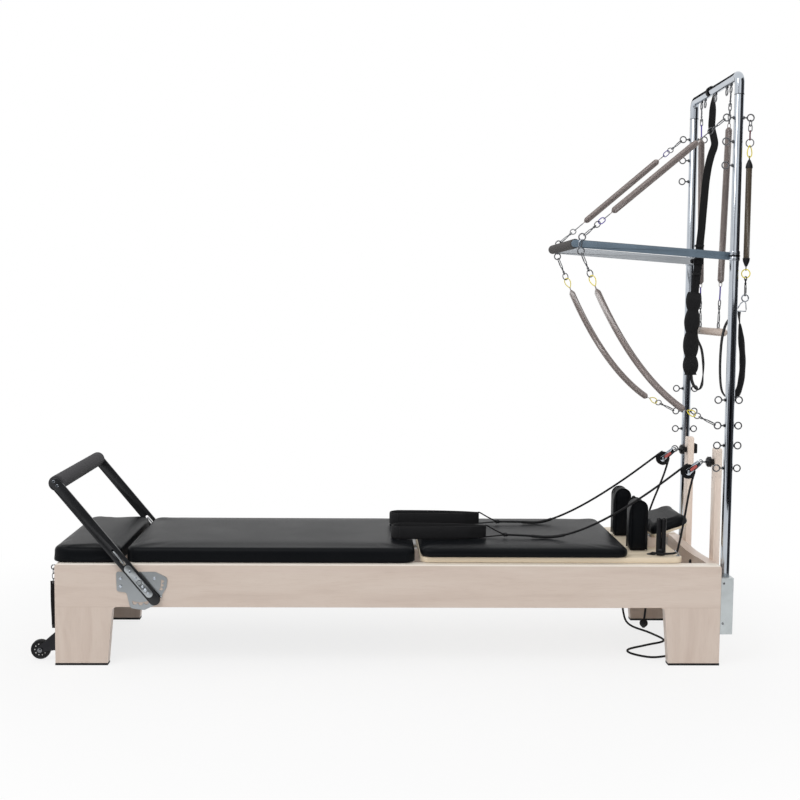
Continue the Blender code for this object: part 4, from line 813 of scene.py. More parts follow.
# Footbar: flat arms with their slots, lock pieces, grip
barSizes = {
    "pivot": (0.298, 0.299), "reach": 0.449, "angle": 129.6, "tail": 0.08, "width": 0.04,
    "thickness": 0.008, "pin": 0.0083, "slot": (0.084, 0.144), "slotWidth": 0.012, "armLow": 0.3376,
    "gripRadius": 0.027,
}
b = barSizes
slope = math.radians(b["angle"])
pivot = b["pivot"]
tip = stepFrom(pivot, slope, b["reach"])
tail = stepFrom(pivot, slope + math.pi, b["tail"])
for side, cadSide, sign in sides:
    low, high = sorted((sign * b["armLow"], sign * (b["armLow"] + b["thickness"])))
    slotEnds = [stepFrom(pivot, slope, reach) for reach in b["slot"]]
    arm = startPlate(f"footbarArm{side}", [slotOutline(tail, tip, b["width"], 20), circle(pivot, b["pin"], 32),
                                           slotOutline(*slotEnds, b["slotWidth"])], "XZ", low, high, 0.0012, 3)
    finish(arm, "footbar", "armPaint", (f"footbar_arm_{cadSide}",))
    face = sign * (b["armLow"] + b["thickness"])
    screws = []
    for reach, size in ((b["reach"] - 0.009, 0.0052), (b["reach"] + 0.01, 0.0052)):
        place = stepFrom(tip, slope, reach - b["reach"])
        profile = [(0, 0.0008), (0.0017, 0.0008), (0.002, 0.0022), (size * 0.75, 0.0022), (size, 0.0008),
                   (size, -0.002)]
        screws.append(spinProfile("screw", profile, at(place[0], face, place[1]), (0, sign, 0), 28))
    finish(together(f"footbarScrews{side}", screws), "footbar", "chrome")
    first = stepFrom(pivot, slope, b["slot"][0] + 0.002)
    second = stepFrom(pivot, slope, b["slot"][1] - 0.002)
    rod = startRod(f"lockRod{side}", at(first[0], sign * (b["armLow"] + 0.004), first[1]),
                   at(second[0], sign * (b["armLow"] + 0.004), second[1]), 0.0032, 20, 0.0006)
    finish(rod, "footbar", "zinc")
    lock = []
    outline = slotOutline(stepFrom(pivot, slope, -0.052), stepFrom(pivot, slope, 0.062), 0.026, 14)
    plate = startPlate("plate", [outline, circle(pivot, 0.0092, 28)], "XZ",
                       *sorted((face + sign * 0.0003, face + sign * 0.0028)), 0.0006)
    finish(plate, "footbar", "zinc")
    plate.name = f"lockPlate{side}"
    for reach, radius, height in ((-0.018, 0.0045, 0.007), (-0.033, 0.0055, 0.009), (-0.048, 0.004, 0.006),
                                  (0.05, 0.0042, 0.005), (0.02, 0.004, 0.005)):
        place = stepFrom(pivot, slope, reach)
        profile = [(0, height), (radius * 0.35, height), (radius * 0.4, height - 0.0012),
                   (radius * 0.8, height - 0.0012), (radius, height - 0.002), (radius, 0.001)]
        lock.append(spinProfile("bolt", profile, at(place[0], face + sign * 0.0015, place[1]), (0, sign, 0), 24))
    finish(together(f"lockBolts{side}", lock), "footbar", "chrome")
    plateFace = sign * (f["rail"] + 0.0033)
    screws = []
    for u, v, size in ((-0.068, 0.012, 0.006), (-0.068, -0.016, 0.006), (0.05, 0.012, 0.006), (0.074, -0.052, 0.003)):
        profile = [(0, 0.0006), (size * 0.3, 0.0006), (size * 0.4, 0.0022), (size * 0.75, 0.0022), (size, 0.0004),
                   (size, -0.001)]
        screws.append(spinProfile("screw", profile, at(pivot[0] + u, plateFace, pivot[1] + v), (0, sign, 0), 28))
    finish(together(f"plateScrews{side}", screws), "base", "chrome")

half = b["armLow"] - 0.0004
r = b["gripRadius"]
upper = [(0, half), (r * 0.9, half), (r * 0.97, half - 0.0012), (r, half - 0.004)]
skin = [(r + 0.0004 * math.sin(7 * step / 3), half - 0.004 - (2 * half - 0.008) * step / 40) for step in range(1, 40)]
grip = spinProfile("footbarGrip", mirrored(upper, skin), at(tip[0], 0, tip[1]), (0, 1, 0), 64)
finish(grip, "footbar", "foam", ("footbar_grip",))
print("footbar done")

# Risers: boards, eyebolts, star knobs, a bumper and the head board's bolts
riserSizes = {
    "from": 2.3503, "thickness": 0.024, "y": 0.19, "width": 0.05, "bottom": 0.11, "top": 0.765,
    "eyeX": 2.3103, "eyeZ": 0.714, "knob": 0.019, "knobFrom": 0.0275, "bore": 0.004,
    "lobes": 8, "boltZ": (0.145, 0.215, 0.32), "headBoltX": 2.312, "headBolts": ((-0.06, 0.318), (0.15, 0.3)),
    "bumperLow": (2.3744, 0.172, 0.7), "bumperHigh": (2.39, 0.206, 0.738),
}
g = riserSizes
for side, cadSide, sign in sides:
    y = sign * g["y"]
    outline = roundedOutline([(y - g["width"] / 2, g["bottom"], 0.006), (y + g["width"] / 2, g["bottom"], 0.006),
                              (y + g["width"] / 2, g["top"], 0.012), (y - g["width"] / 2, g["top"], 0.012)])
    post = startPlate(f"riserBoard{side}", [outline], "YZ", g["from"], g["from"] + g["thickness"], 0.002, 3)
    finish(post, "base", "boardUpright", (f"riser_{cadSide}",))
    steel = [startRing("eye", at(g["eyeX"], y, g["eyeZ"]), (0, 0, 1), 0.009, 0.0022),
             startRod("shank", at(g["eyeX"] + 0.008, y, g["eyeZ"]), at(g["from"] + 0.002, y, g["eyeZ"]), 0.003, 24),
             startRod("collar", at(g["eyeX"] + 0.0075, y, g["eyeZ"]), at(g["eyeX"] + 0.011, y, g["eyeZ"]), 0.0038,
                      24, 0.0006)]
    for z in g["boltZ"]:
        back = g["from"] + g["thickness"]
        steel.append(startRod("bolt", at(back - 0.001, y, z), at(back + 0.004, y, z), 0.0055, 6, 0.0006))
        steel.append(startRod("washer", at(back - 0.001, y, z), at(back + 0.0012, y, z), 0.009, 32, 0.0004))
    finish(together(f"riserSteel{side}", steel), "base", "bright")
    face = g["from"] - 0.0003
    lobes = []
    for step in range(120):
        angle = 2 * math.pi * step / 120
        radius = g["knob"] * (0.955 + 0.045 * math.cos(g["lobes"] * angle))
        lobes.append((y + radius * math.cos(angle), g["eyeZ"] + radius * math.sin(angle)))
    bore = circle((y, g["eyeZ"]), g["bore"], 28)
    back = face - g["knobFrom"]
    star = startPlate("star", [lobes, bore], "YZ", back + 0.005, face - 0.0095, 0.0026, 3)
    profile = [(g["bore"], 0.0), (0.0118, 0.0), (0.012, 0.0006), (0.0108, 0.005), (0.012, 0.01), (0.016, 0.0106),
               (0.016, 0.02), (0.0168, 0.0226), (0.016, 0.0248), (0.0136, 0.0266), (0.01, 0.0275), (0.007, 0.0272),
               (0.0062, 0.0262), (g["bore"], 0.0262), (g["bore"], 0.0)]
    hub = spinProfile("hub", profile, at(face, y, g["eyeZ"]), (-1, 0, 0), 48)
    knob = together(f"starKnob{side}", [star, hub])
    finish(knob, f"knob_{cadSide}", "knob", (f"riser_knob_{cadSide}",))
block = startBlock("riserBumper", at(*g["bumperLow"]), at(*g["bumperHigh"]), 0.004, 3)
finish(block, "base", "rubber")
bolts = []
for y, z in g["headBolts"]:
    bolts.append(spinProfile("bolt", [(0, 0.007), (0.005, 0.0065), (0.009, 0.004), (0.01, 0), (0.01, -0.002)],
                             at(g["headBoltX"], y, z), (-1, 0, 0), 28))
finish(together("headBoardBolts", bolts), "base", "plastic")
print("risers done")

# Pulley blocks: cheeks with red inlays, bridge, shackle, axle and sheave
pulleySizes = {"x": 2.257, "z": 0.678, "swivel": 2.3103, "swivelZ": 0.714, "y": 0.19, "cheek": 0.008, "wall": 0.002,
               "sheave": 0.026, "strap": 0.0125}
p = pulleySizes
shackle = (p["swivel"] - 0.0085 - p["x"], p["swivelZ"] - p["z"])
run = math.hypot(*shackle)
for side, cadSide, sign in sides:
    y = sign * p["y"]
    centre = at(p["x"], y, p["z"])
    blockTurn = (Matrix.Translation(centre) @ Matrix.Rotation(-math.atan2(shackle[1], shackle[0]), 4, "Y")
                 @ Matrix.Translation(-centre))
    reach = p["x"] + run
    outline = [(reach - 0.0045, p["z"] - 0.0085), (reach - 0.0045, p["z"] + 0.0085)]
    outline += arc((p["x"], p["z"]), p["strap"], 62, 298, 28)
    metal = [startPlate("cheek", [outline], "XZ", y - p["cheek"] - p["wall"], y - p["cheek"], 0.0006),
             startPlate("cheek", [outline], "XZ", y + p["cheek"], y + p["cheek"] + p["wall"], 0.0006)]
    metal.append(startBlock("bridge", at(reach - 0.0115, y - p["cheek"] - 0.0012, p["z"] - 0.007),
                            at(reach - 0.006, y + p["cheek"] + 0.0012, p["z"] + 0.007), 0.001))
    metal.append(startRing("shackle", at(reach, y, p["z"]), (0, 1, 0), 0.0078, 0.0018))
    profile = mirrored([(0, 0.0125), (0.003, 0.0125), (0.0045, 0.0115), (0.0062, 0.0112), (0.0062, 0.0098),
                        (0.0042, 0.0098)])
    metal.append(spinProfile("axle", profile, centre, (0, 1, 0), 28))
    block = together(f"pulleyBlock{side}", metal)
    block.data.transform(blockTurn)
    finish(block, f"pulley_{cadSide}", "chrome", (f"pulley_block_{cadSide}",))
    inlays = []
    for face in (-1, 1):
        outer = y + face * (p["cheek"] + p["wall"])
        shape = slotOutline((p["x"] + 0.013, p["z"]), (p["x"] + 0.033, p["z"]), 0.0105, 12)
        inlays.append(startPlate("inlay", [shape], "XZ", *sorted((outer - face * 0.0003, outer + face * 0.0006)),
                                 0.0002))
    inlay = together(f"pulleyInlay{side}", inlays)
    inlay.data.transform(blockTurn)
    finish(inlay, f"pulley_{cadSide}", "redInlay")
    profile = mirrored([(0.0046, 0.007), (0.0105, 0.007), (0.0115, 0.0062), (0.0215, 0.0062), (0.0225, 0.007),
                        (0.0257, 0.007), (p["sheave"], 0.0065), (p["sheave"], 0.0058), (0.0232, 0.0048),
                        (0.0206, 0.0037), (0.0192, 0.002)], [(0.0187, 0)], closed=True)
    sheave = spinProfile(f"sheave{side}", profile, at(p["x"], y, p["z"]), (0, 1, 0), 64)
    finish(sheave, f"sheave_{cadSide}", "plastic", (f"pulley_sheave_{cadSide}",))
print("pulleys done")

# Tower: posts, top bar with corner fittings, eyebolts, push bar collars, socket bolts
towerSizes = {
    "x": 2.3723, "y": 0.292, "radius": 0.0163, "foot": 0.1233, "joint": 2.0133, "top": 2.08, "bend": 0.03,
    "eye": 0.0118, "eyeWire": 0.0024, "reach": 0.042, "backReach": 0.032,
    "front": (1.933, 1.851, 1.769, 0.948, 0.857, 0.786, 0.705), "back": (1.933, 0.948, 0.857, 0.786, 0.705),
    "hangers": (-0.19, -0.14, 0.0, 0.14, 0.19), "drop": 0.034, "pushZ": 1.455,
    "pinFrom": 0.2545, "pinTo": 0.28, "pinCap": 0.2575, "boltX": 2.3935, "boltTo": 2.3985, "washerTo": 2.3957,
    "boltZ": (0.14, 0.285), "screwX": 2.359,
}
t = towerSizes


def eyebolt(place, outward, reach, ringNormal, base):
    # ring, shank and hexagon nut of one eyebolt
    outward = Vector(outward)
    centre = Vector(place) + outward * reach
    root = Vector(place) + outward * base
    shank = startRod("shank", root, centre - outward * (t["eye"] - 0.0008), 0.0028, 18)
    shoulder = startRod("shoulder", centre - outward * (t["eye"] + 0.0035), centre - outward * (t["eye"] - 0.0006),
                        0.0036, 18, 0.0006)
    nut = startRod("nut", root, root + outward * 0.0048, 0.0062, 6, 0.0007)
    return [startRing("eye", centre, ringNormal, t["eye"], t["eyeWire"], 36, 12), shank, shoulder, nut]


for side, cadSide, sign in sides:
    y = sign * t["y"]
    post = startRod(f"towerPost{side}", at(t["x"], y, t["foot"]), at(t["x"], y, t["joint"] - 0.0004), t["radius"],
                    64, 0.0008)
    finish(post, "base", "chrome", (f"tower_post_{cadSide}",))
    eyes = []
    for z in t["front"]:
        eyes += eyebolt(at(t["x"], y, z), (-1, 0, 0), t["reach"], (0, 1, 0), t["radius"] - 0.0004)
    for z in t["back"]:
        reach = t["reach"] if z == t["back"][0] else t["backReach"]
        eyes += eyebolt(at(t["x"], y, z), (1, 0, 0), reach, (0, 1, 0), t["radius"] - 0.0004)
    finish(together(f"postEyebolts{side}", eyes), "base", "bright")
    profile = mirrored([(t["radius"] + 0.0002, 0.0165), (0.018, 0.0165), (0.0186, 0.0155), (0.0186, 0.005),
                        (0.018, 0.004)], closed=True)
    collar = spinProfile(f"pushCollar{side}", profile, at(t["x"], y, t["pushZ"]), (0, 0, 1), 48)
    finish(collar, "base", "chrome")
    band = spinProfile(f"pushClamp{side}", mirrored([(0.0181, 0.003), (0.0196, 0.0024)], closed=True),
                       at(t["x"], y, t["pushZ"]), (0, 0, 1), 48)
    finish(band, "base", "darkMetal")
    cap = [(0, 0.0045), (0.005, 0.0042), (0.0085, 0.0025), (0.0095, 0.0005), (0.0095, 0)]
    pins = [startRod("pin", at(t["x"], sign * t["pinFrom"], t["pushZ"]), at(t["x"], sign * t["pinTo"], t["pushZ"]),
                     0.006, 28, 0.0008),
            spinProfile("cap", cap, at(t["x"], sign * t["pinCap"], t["pushZ"]), (0, -sign, 0), 28)]
    finish(together(f"pushPin{side}", pins), "base", "darkMetal")
    bolts = []
    for z in t["boltZ"]:
        bolts.append(startRod("bolt", at(t["boltX"], y, z), at(t["boltTo"], y, z), 0.0042, 6, 0.0006))
        bolts.append(startRod("washer", at(t["boltX"], y, z), at(t["washerTo"], y, z), 0.0065, 28, 0.0004))
        bolts.append(spinProfile("screw", [(0, 0.0022), (0.0025, 0.002), (0.0042, 0.0004), (0.0042, -0.001)],
                                 at(t["screwX"], sign * f["rail"], z + 0.012), (0, sign, 0), 24))
    finish(together(f"socketBolts{side}", bolts), "base", "bright")

line = [at(t["x"], -t["y"], t["joint"] + 0.0002)]
span = t["y"] - t["bend"]
height = t["top"] - t["bend"]
line += [at(t["x"], u, v) for u, v in arc((-span, height), t["bend"], 180, 90, 14)]
line += [at(t["x"], u, v) for u, v in arc((span, height), t["bend"], 90, 0, 14)]
line.append(at(t["x"], t["y"], t["joint"] + 0.0002))
topBar = sweep("towerTopBar", line, roundProfile(t["radius"] + 0.0002, 40), (1, 0, 0))
finish(topBar, "base", "chrome", ("tower_top_bar",))
eyes = []
for y in t["hangers"]:
    eyes += eyebolt(at(t["x"], y, t["top"]), (0, 0, -1), t["drop"], (1, 0, 0), t["radius"] - 0.0004)
finish(together("topEyebolts", eyes), "base", "bright")
seams = []
for side, cadSide, sign in sides:
    profile = mirrored([(t["radius"] + 0.0001, 0.0015), (t["radius"] + 0.0012, 0.0012)], closed=True)
    seams.append(spinProfile("seam", profile, at(t["x"], sign * t["y"], t["joint"] - 0.0002), (0, 0, 1), 48))
finish(together("cornerSeams", seams), "base", "bright")
print("tower done")

# Push-through bar: two flat arms, cross tube, spring eyes and bands, foam grip
pushSizes = {
    "reach": 0.558, "rise": 4.0, "y": 0.262, "depth": 0.028, "thickness": 0.008, "core": 0.0125,
    "grip": 0.017, "eyeBack": 0.022,
}
u = pushSizes
pushSlope = math.radians(180 - u["rise"])
pushPivot = (t["x"], t["pushZ"])
pushTip = stepFrom(pushPivot, pushSlope, u["reach"])
pushEye = stepFrom(pushPivot, pushSlope, u["reach"] - u["eyeBack"])
pushAcross = stepFrom((0, 0), pushSlope - math.pi / 2, u["depth"] / 2 + t["eye"] - 0.001)
arms = []
hardware = []
pushHooks = {}
for side, cadSide, sign in sides:
    low, high = sorted((sign * (u["y"] - u["thickness"] / 2), sign * (u["y"] + u["thickness"] / 2)))
    arms.append(startPlate("arm", [slotOutline(pushPivot, pushTip, u["depth"], 20), circle(pushPivot, 0.0066, 32)],
                           "XZ", low, high, 0.0011, 3))
    y = sign * u["y"]
    for way, key in ((1, "upper"), (-1, "lower")):
        centre = at(pushEye[0] + way * pushAcross[0], y, pushEye[1] + way * pushAcross[1])
        pushHooks[key, cadSide] = centre
        hardware.append(startRing("eye", centre, (0, 1, 0), t["eye"], t["eyeWire"], 36, 12))
    half = u["depth"] / 2 + 0.0011
    thick = u["thickness"] / 2 + 0.0011
    loop = []
    for across, out in ((-half, -thick), (-half, thick), (half, thick), (half, -thick)):
        place = stepFrom(pushEye, pushSlope - math.pi / 2, across)
        loop.append(at(place[0], y + out, place[1]))
    hardware.append(wire("band", loop, 0.0016, 8, True))
arms.append(startRod("tube", at(pushTip[0], -u["y"], pushTip[1]), at(pushTip[0], u["y"], pushTip[1]), u["core"], 40))
finish(together("pushBarArms", arms), "push_bar", "pushPaint", ("push_bar",))
finish(together("pushBarEyes", hardware), "push_bar", "bright")
half = u["y"] - u["thickness"] / 2 - 0.0003
upper = [(u["core"] + 0.0004, half), (u["grip"] - 0.0014, half), (u["grip"], half - 0.002)]
skin = [(u["grip"] + 0.0003 * math.sin(5 * step / 2), half - 0.002 - (2 * half - 0.004) * step / 30)
        for step in range(1, 30)]
profile = mirrored(upper, skin, closed=True)
sleeve = spinProfile("pushBarGrip", profile, at(pushTip[0], 0, pushTip[1]), (0, 1, 0), 48)
finish(sleeve, "push_bar", "darkFoam", ("push_bar_grip",))
print("push bar done")

# Upholstery: each pad is blown up a little as cloth, over its flat base

padSizes = {
    "half": 0.32, "bottom": 0.3626, "top": 0.4185, "corner": 0.042, "edge": 0.013, "tuck": 0.004,
    "platform": (-0.017, 0.231), "insert": (0.236, 1.269), "carriage": (1.274, 2.03), "onBoard": 0.3829,
    "air": 4.0, "frames": 20,
}
q = padSizes


def softBlock(name, outline, plane, low, high, edge, tuck, wantedTop):
    # a block with a big round along the rim that passes the test and a small one along the other
    piece = startPlate(name, [outline], plane, low, high)
    flat = planeNormals[plane]
    pick(piece, "EDGE", lambda edge: all(wantedTop(vert.co) for vert in edge.verts)
         and edge.calc_face_angle(0) > 0.9 and abs((edge.verts[1].co - edge.verts[0].co).dot(flat)) < 1e-5)
    bpy.ops.mesh.bevel(offset=edge, segments=5, affect="EDGES")
    leave()
    pick(piece, "EDGE", lambda edge: edge.calc_face_angle(0) > 0.9
         and abs((edge.verts[1].co - edge.verts[0].co).dot(flat)) < 1e-5)
    bpy.ops.mesh.bevel(offset=tuck, segments=2, affect="EDGES")
    leave()
    return piece


def puff(piece, voxel, swell, held, relax=4):
    # remeshed evenly, then a cloth under a little air; what is held stays flat
    only(piece)
    even = piece.modifiers.new("even", "REMESH")
    even.mode = "VOXEL"
    even.voxel_size = voxel
    applyAll(piece)
    calm = piece.modifiers.new("calm", "SMOOTH")
    calm.factor = 0.5
    calm.iterations = relax
    applyAll(piece)
    mesh = piece.data
    start = [vert.co.copy() for vert in mesh.vertices]
    group = piece.vertex_groups.new(name="held")
    group.add([vert.index for vert in mesh.vertices if held(vert.co)], 1.0, "REPLACE")
    cloth = piece.modifiers.new("cloth", "CLOTH")
    cloth.settings.quality = 4
    cloth.settings.mass = 0.3
    cloth.settings.use_pressure = True
    cloth.settings.uniform_pressure_force = q["air"]
    cloth.settings.effector_weights.gravity = 0
    cloth.settings.vertex_group_mass = "held"
    cloth.point_cache.frame_start = 1
    cloth.point_cache.frame_end = q["frames"]
    for step in range(1, q["frames"] + 1):
        bpy.context.scene.frame_set(step)
    applyAll(piece)
    bpy.context.scene.frame_set(1)
    piece.vertex_groups.clear()
    mesh = piece.data
    for vert, before in zip(mesh.vertices, start):
        way = vert.co - before
        if way.length > swell:
            vert.co = before + way * (swell / way.length)
    calm = piece.modifiers.new("calm", "SMOOTH")
    calm.factor = 0.5
    calm.iterations = 2
    fine = piece.modifiers.new("fine", "SUBSURF")
    fine.levels = 1
    fine.render_levels = 1
    return applyAll(piece)


def makePad(name, low, high, bottom, voxel, swell, body, node):
    inset = swell * 0.6
    corner = q["corner"]
    outline = roundedBox(low + inset, high - inset, q["half"] - inset, corner, corner, 8)
    piece = softBlock(name, outline, "XY", bottom, q["top"] - inset * 0.5, q["edge"], q["tuck"],
                      lambda place: place.z > q["top"] - 0.01)
    puff(piece, voxel, swell, lambda place: place.z < bottom + 0.004)
    finish(piece, body, "vinyl", (node,), 60)
    return piece


makePad("platformPad", *q["platform"], q["bottom"], 0.0065, 0.004, "base", "platform_pad")
makePad("matInsertPad", *q["insert"], q["bottom"], 0.0085, 0.0045, "mat_insert", "mat_insert")
makePad("carriagePad", *q["carriage"], q["onBoard"], 0.0075, 0.004, "carriage", "carriage_pad")
print("mat pads done")

# Shoulder rests: arched blocks with piping along both faces
restSizes = {"x": 2.086, "half": 0.034, "y": 0.143, "deep": 0.039, "foot": 0.3829, "height": 0.19, "piping": 0.0021}
o = restSizes
for side, cadSide, sign in sides:
    y = sign * o["y"]
    half = o["half"] - 0.003
    high = o["foot"] + o["height"] - o["half"]
    outline = [(o["x"] - half, o["foot"] + 0.001), (o["x"] + half, o["foot"] + 0.001)]
    outline += arc((o["x"], high), half, 0, 180, 24)
    block = startPlate(f"shoulderRest{side}", [outline], "XZ", y - o["deep"] + 0.003, y + o["deep"] - 0.003)
    roundEdges(block, 0.006, 4, 50)
    puff(block, 0.0045, 0.0035, lambda place: place.z < o["foot"] + 0.004, 3)
    finish(block, f"rest_{cadSide}", "vinyl", (f"shoulder_rest_{cadSide}",), 60)
    seams = []
    for face in (-1, 1):
        reach = o["half"] - 0.0045
        line = [at(o["x"] + reach, y + face * (o["deep"] - 0.0025), o["foot"] + 0.003)]
        line += [at(px, y + face * (o["deep"] - 0.0025), pz) for px, pz in arc((o["x"], high), reach, 0, 180, 24)]
        line.append(at(o["x"] - reach, y + face * (o["deep"] - 0.0025), o["foot"] + 0.003))
        seams.append(sweep("piping", line, roundProfile(o["piping"], 8), (0, 1, 0)))
    finish(together(f"restPiping{side}", seams), f"rest_{cadSide}", "vinyl")
print("shoulder rests done")

# Headrest: a small pad on a ply base, tilted up about its hinge
headSizes = {"x": 2.145, "z": 0.424, "length": 0.152, "half": 0.14, "thickness": 0.04, "tilt": 18.6, "ply": 0.009}
h = headSizes
tiltTurn = (Matrix.Translation(at(h["x"], 0, h["z"])) @ Matrix.Rotation(-math.radians(h["tilt"]), 4, "Y")
            @ Matrix.Translation(-at(h["x"], 0, h["z"])))
low = h["z"] - 0.003
outline = roundedBox(h["x"] + 0.003, h["x"] + h["length"] - 0.003, h["half"] - 0.003, 0.024, 0.036, 8)
pad = softBlock("headrestPad", outline, "XY", low + h["ply"], h["z"] + h["thickness"] - 0.002, 0.014, 0.004,
                lambda place: place.z > h["z"] + h["thickness"] - 0.01)
puff(pad, 0.005, 0.0045, lambda place: place.z < low + h["ply"] + 0.003)
pad.data.transform(tiltTurn)
finish(pad, "headrest", "vinyl", ("headrest",), 60)
outline = roundedBox(h["x"] + 0.004, h["x"] + h["length"] - 0.008, h["half"] - 0.008, 0.02, 0.03)
base = startPlate("headrestBase", [outline], "XY", low + 0.001, low + h["ply"] + 0.002, 0.0012)
base.data.transform(tiltTurn)
finish(base, "headrest", "ply")
leaves = []
for y in (-0.075, 0.075):
    leaves.append(startRod("barrel", at(h["x"], y - 0.022, h["z"]), at(h["x"], y + 0.022, h["z"]), 0.0032, 20,
                           0.0004))
    flap = startBlock("leaf", at(h["x"], y - 0.021, low - 0.0006), at(h["x"] + 0.026, y + 0.021, low + 0.001),
                      0.0003, 1)
    flap.data.transform(tiltTurn)
    leaves.append(flap)
finish(together("headrestHinges", leaves), "headrest", "zinc")
print("headrest done")

# Carriage board of birch ply with its hidden steel
boardSizes = {
    "from": 1.28, "to": 2.22, "half": 0.3, "bottom": 0.3635, "top": 0.3825, "corner": 0.03,
    "restX": 2.086, "restY": 0.143, "holeX": 2.118, "holeY": 0.238, "eyeX": 2.2035, "eyeY": 0.262,
    "wheels": (1.37, 2.13), "springs": (1.37, 1.88), "springY": (-0.09, 0.0, 0.09), "hookZ": 0.3415,
    "rollerZ": 0.3233, "earInner": 0.2623, "axleEnd": 0.2823, "eyeZ": 0.396, "hookBar": 0.12,
}
c = boardSizes
outlines = [roundedBox(c["from"], c["to"], c["half"], c["corner"], c["corner"], 8)]
for sign in (-1, 1):
    outlines.append(circle((c["restX"], sign * c["restY"]), 0.0105, 28))
    outlines.append(circle((c["holeX"], sign * c["holeY"]), 0.012, 28))
board = startPlate("carriageBoard", outlines, "XY", c["bottom"], c["top"], 0.0014)
finish(board, "carriage", "ply", ("carriage_board",))
prop = startBlock("headrestProp", at(h["x"] - 0.01, -0.11, c["top"] - 0.001),
                  at(h["x"] + 0.02, 0.11, h["z"] - 0.004), 0.002, 3)
finish(prop, "carriage", "boardAcross", slotName="birch_edge")
steel = []
rollerZ = c["rollerZ"]
inner = c["earInner"]
for x in c["wheels"]:
    for sign in (-1, 1):
        ear = roundedOutline([(x - 0.016, c["bottom"], 0), (x - 0.01, rollerZ - 0.01, 0.006),
                              (x + 0.01, rollerZ - 0.01, 0.006), (x + 0.016, c["bottom"], 0)])
        steel.append(startPlate("ear", [ear], "XZ", *sorted((sign * (inner - 0.006), sign * inner)), 0.0007))
        steel.append(startRod("axle", at(x, sign * (inner - 0.009), rollerZ), at(x, sign * c["axleEnd"], rollerZ),
                              0.0039, 20, 0.0005))
        steel.append(startRod("nut", at(x, sign * (inner - 0.0115), rollerZ), at(x, sign * (inner - 0.006), rollerZ),
                              0.0068, 6, 0.0006))
for x in c["springs"]:
    steel.append(startRod("hookBar", at(x, -c["hookBar"], c["hookZ"]), at(x, c["hookBar"], c["hookZ"]), 0.0048, 24,
                          0.0006))
    for sign in (-1, 1):
        steel.append(startBlock("post", at(x - 0.009, sign * 0.112 - 0.005, c["hookZ"] - 0.009),
                                at(x + 0.009, sign * 0.112 + 0.005, c["bottom"] + 0.0005), 0.0012))
finish(together("carriageSteel", steel), "carriage", "zinc")
eyes = []
for sign in (-1, 1):
    eyes.append(startRing("eye", at(c["eyeX"], sign * c["eyeY"], c["eyeZ"]), (1, 0, 1), 0.0095, 0.0021, 36, 12))
    eyes.append(startRod("shank", at(c["eyeX"] + 0.0067, sign * c["eyeY"], c["top"] - 0.004),
                         at(c["eyeX"] + 0.0067, sign * c["eyeY"], 0.3898), 0.0038, 24))
    eyes.append(startRod("washer", at(c["eyeX"] + 0.0067, sign * c["eyeY"], c["top"] - 0.0005),
                         at(c["eyeX"] + 0.0067, sign * c["eyeY"], c["top"] + 0.0014), 0.0085, 32, 0.0005))
finish(together("ropeEyes", eyes), "carriage", "chrome")
for side, cadSide, sign in sides:
    profile = [(0.008, 0.0026), (0.0115, 0.003), (0.015, 0.0016), (0.0158, 0.0), (0.012, -0.0006),
               (0.0118, -0.016), (0.0088, -0.016), (0.008, 0.0026)]
    rim = spinProfile(f"ropeHoleRim{side}", profile, at(c["holeX"], sign * c["holeY"], c["top"] + 0.0004),
                      (0, 0, 1), 36)
    finish(rim, "carriage", "plastic")

# Rope cleats: a double post on a round foot
cleatSizes = {"x": 2.15, "y": 0.25, "height": 0.137, "rod": 0.0088, "apart": 0.0089}
for side, cadSide, sign in sides:
    y = sign * cleatSizes["y"]
    foot = c["top"] + 0.0003
    parts = []
    for way in (-1, 1):
        r = cleatSizes["rod"]
        top = cleatSizes["height"]
        profile = [(0, top), (r * 0.5, top - r * 0.12), (r * 0.86, top - r * 0.5), (r, top - r),
                   (r * 0.97, top * 0.6), (r, 0.02), (r, 0.002), (0, 0.002)]
        parts.append(spinProfile("post", profile, at(cleatSizes["x"] + way * cleatSizes["apart"], y, foot),
                                 (0, 0, 1), 32))
    profile = [(0, 0.024), (0.012, 0.024), (0.0138, 0.022), (0.015, 0.016), (0.015, 0.005), (0.014, 0.002),
               (0.0146, 0.0), (0, 0)]
    parts.append(spinProfile("foot", profile, at(cleatSizes["x"], y, foot), (0, 0, 1), 40))
    finish(together(f"ropeCleat{side}", parts), "carriage", "plastic", (f"rope_cleat_{cadSide}",))
print("carriage done")


# Coil springs, and the carriage's three with their end hooks

def onCurve(start, bend, end, share):
    return start * (1 - share) ** 2 + bend * 2 * share * (1 - share) + end * share ** 2


def coilPoints(start, bend, end, fromShare, toShare, radius, curls, perCurl, taper, tip=0.3):
    points = []
    count = int(curls * perCurl)
    side = Vector((0, 1, 0))
    for step in range(count + 1):
        share = fromShare + (toShare - fromShare) * step / count
        centre = onCurve(start, bend, end, share)
        ahead = (onCurve(start, bend, end, share + 0.01) - centre).normalized()
        across = side.cross(ahead).normalized()
        level = ahead.cross(across).normalized()
        near = min(step, count - step) / perCurl
        size = radius * (1 if near > taper else tip + (1 - tip) * math.sin(math.pi / 2 * near / taper))
        angle = 2 * math.pi * step / perCurl
        points.append(centre + (across * math.cos(angle) + level * math.sin(angle)) * size)
    return points


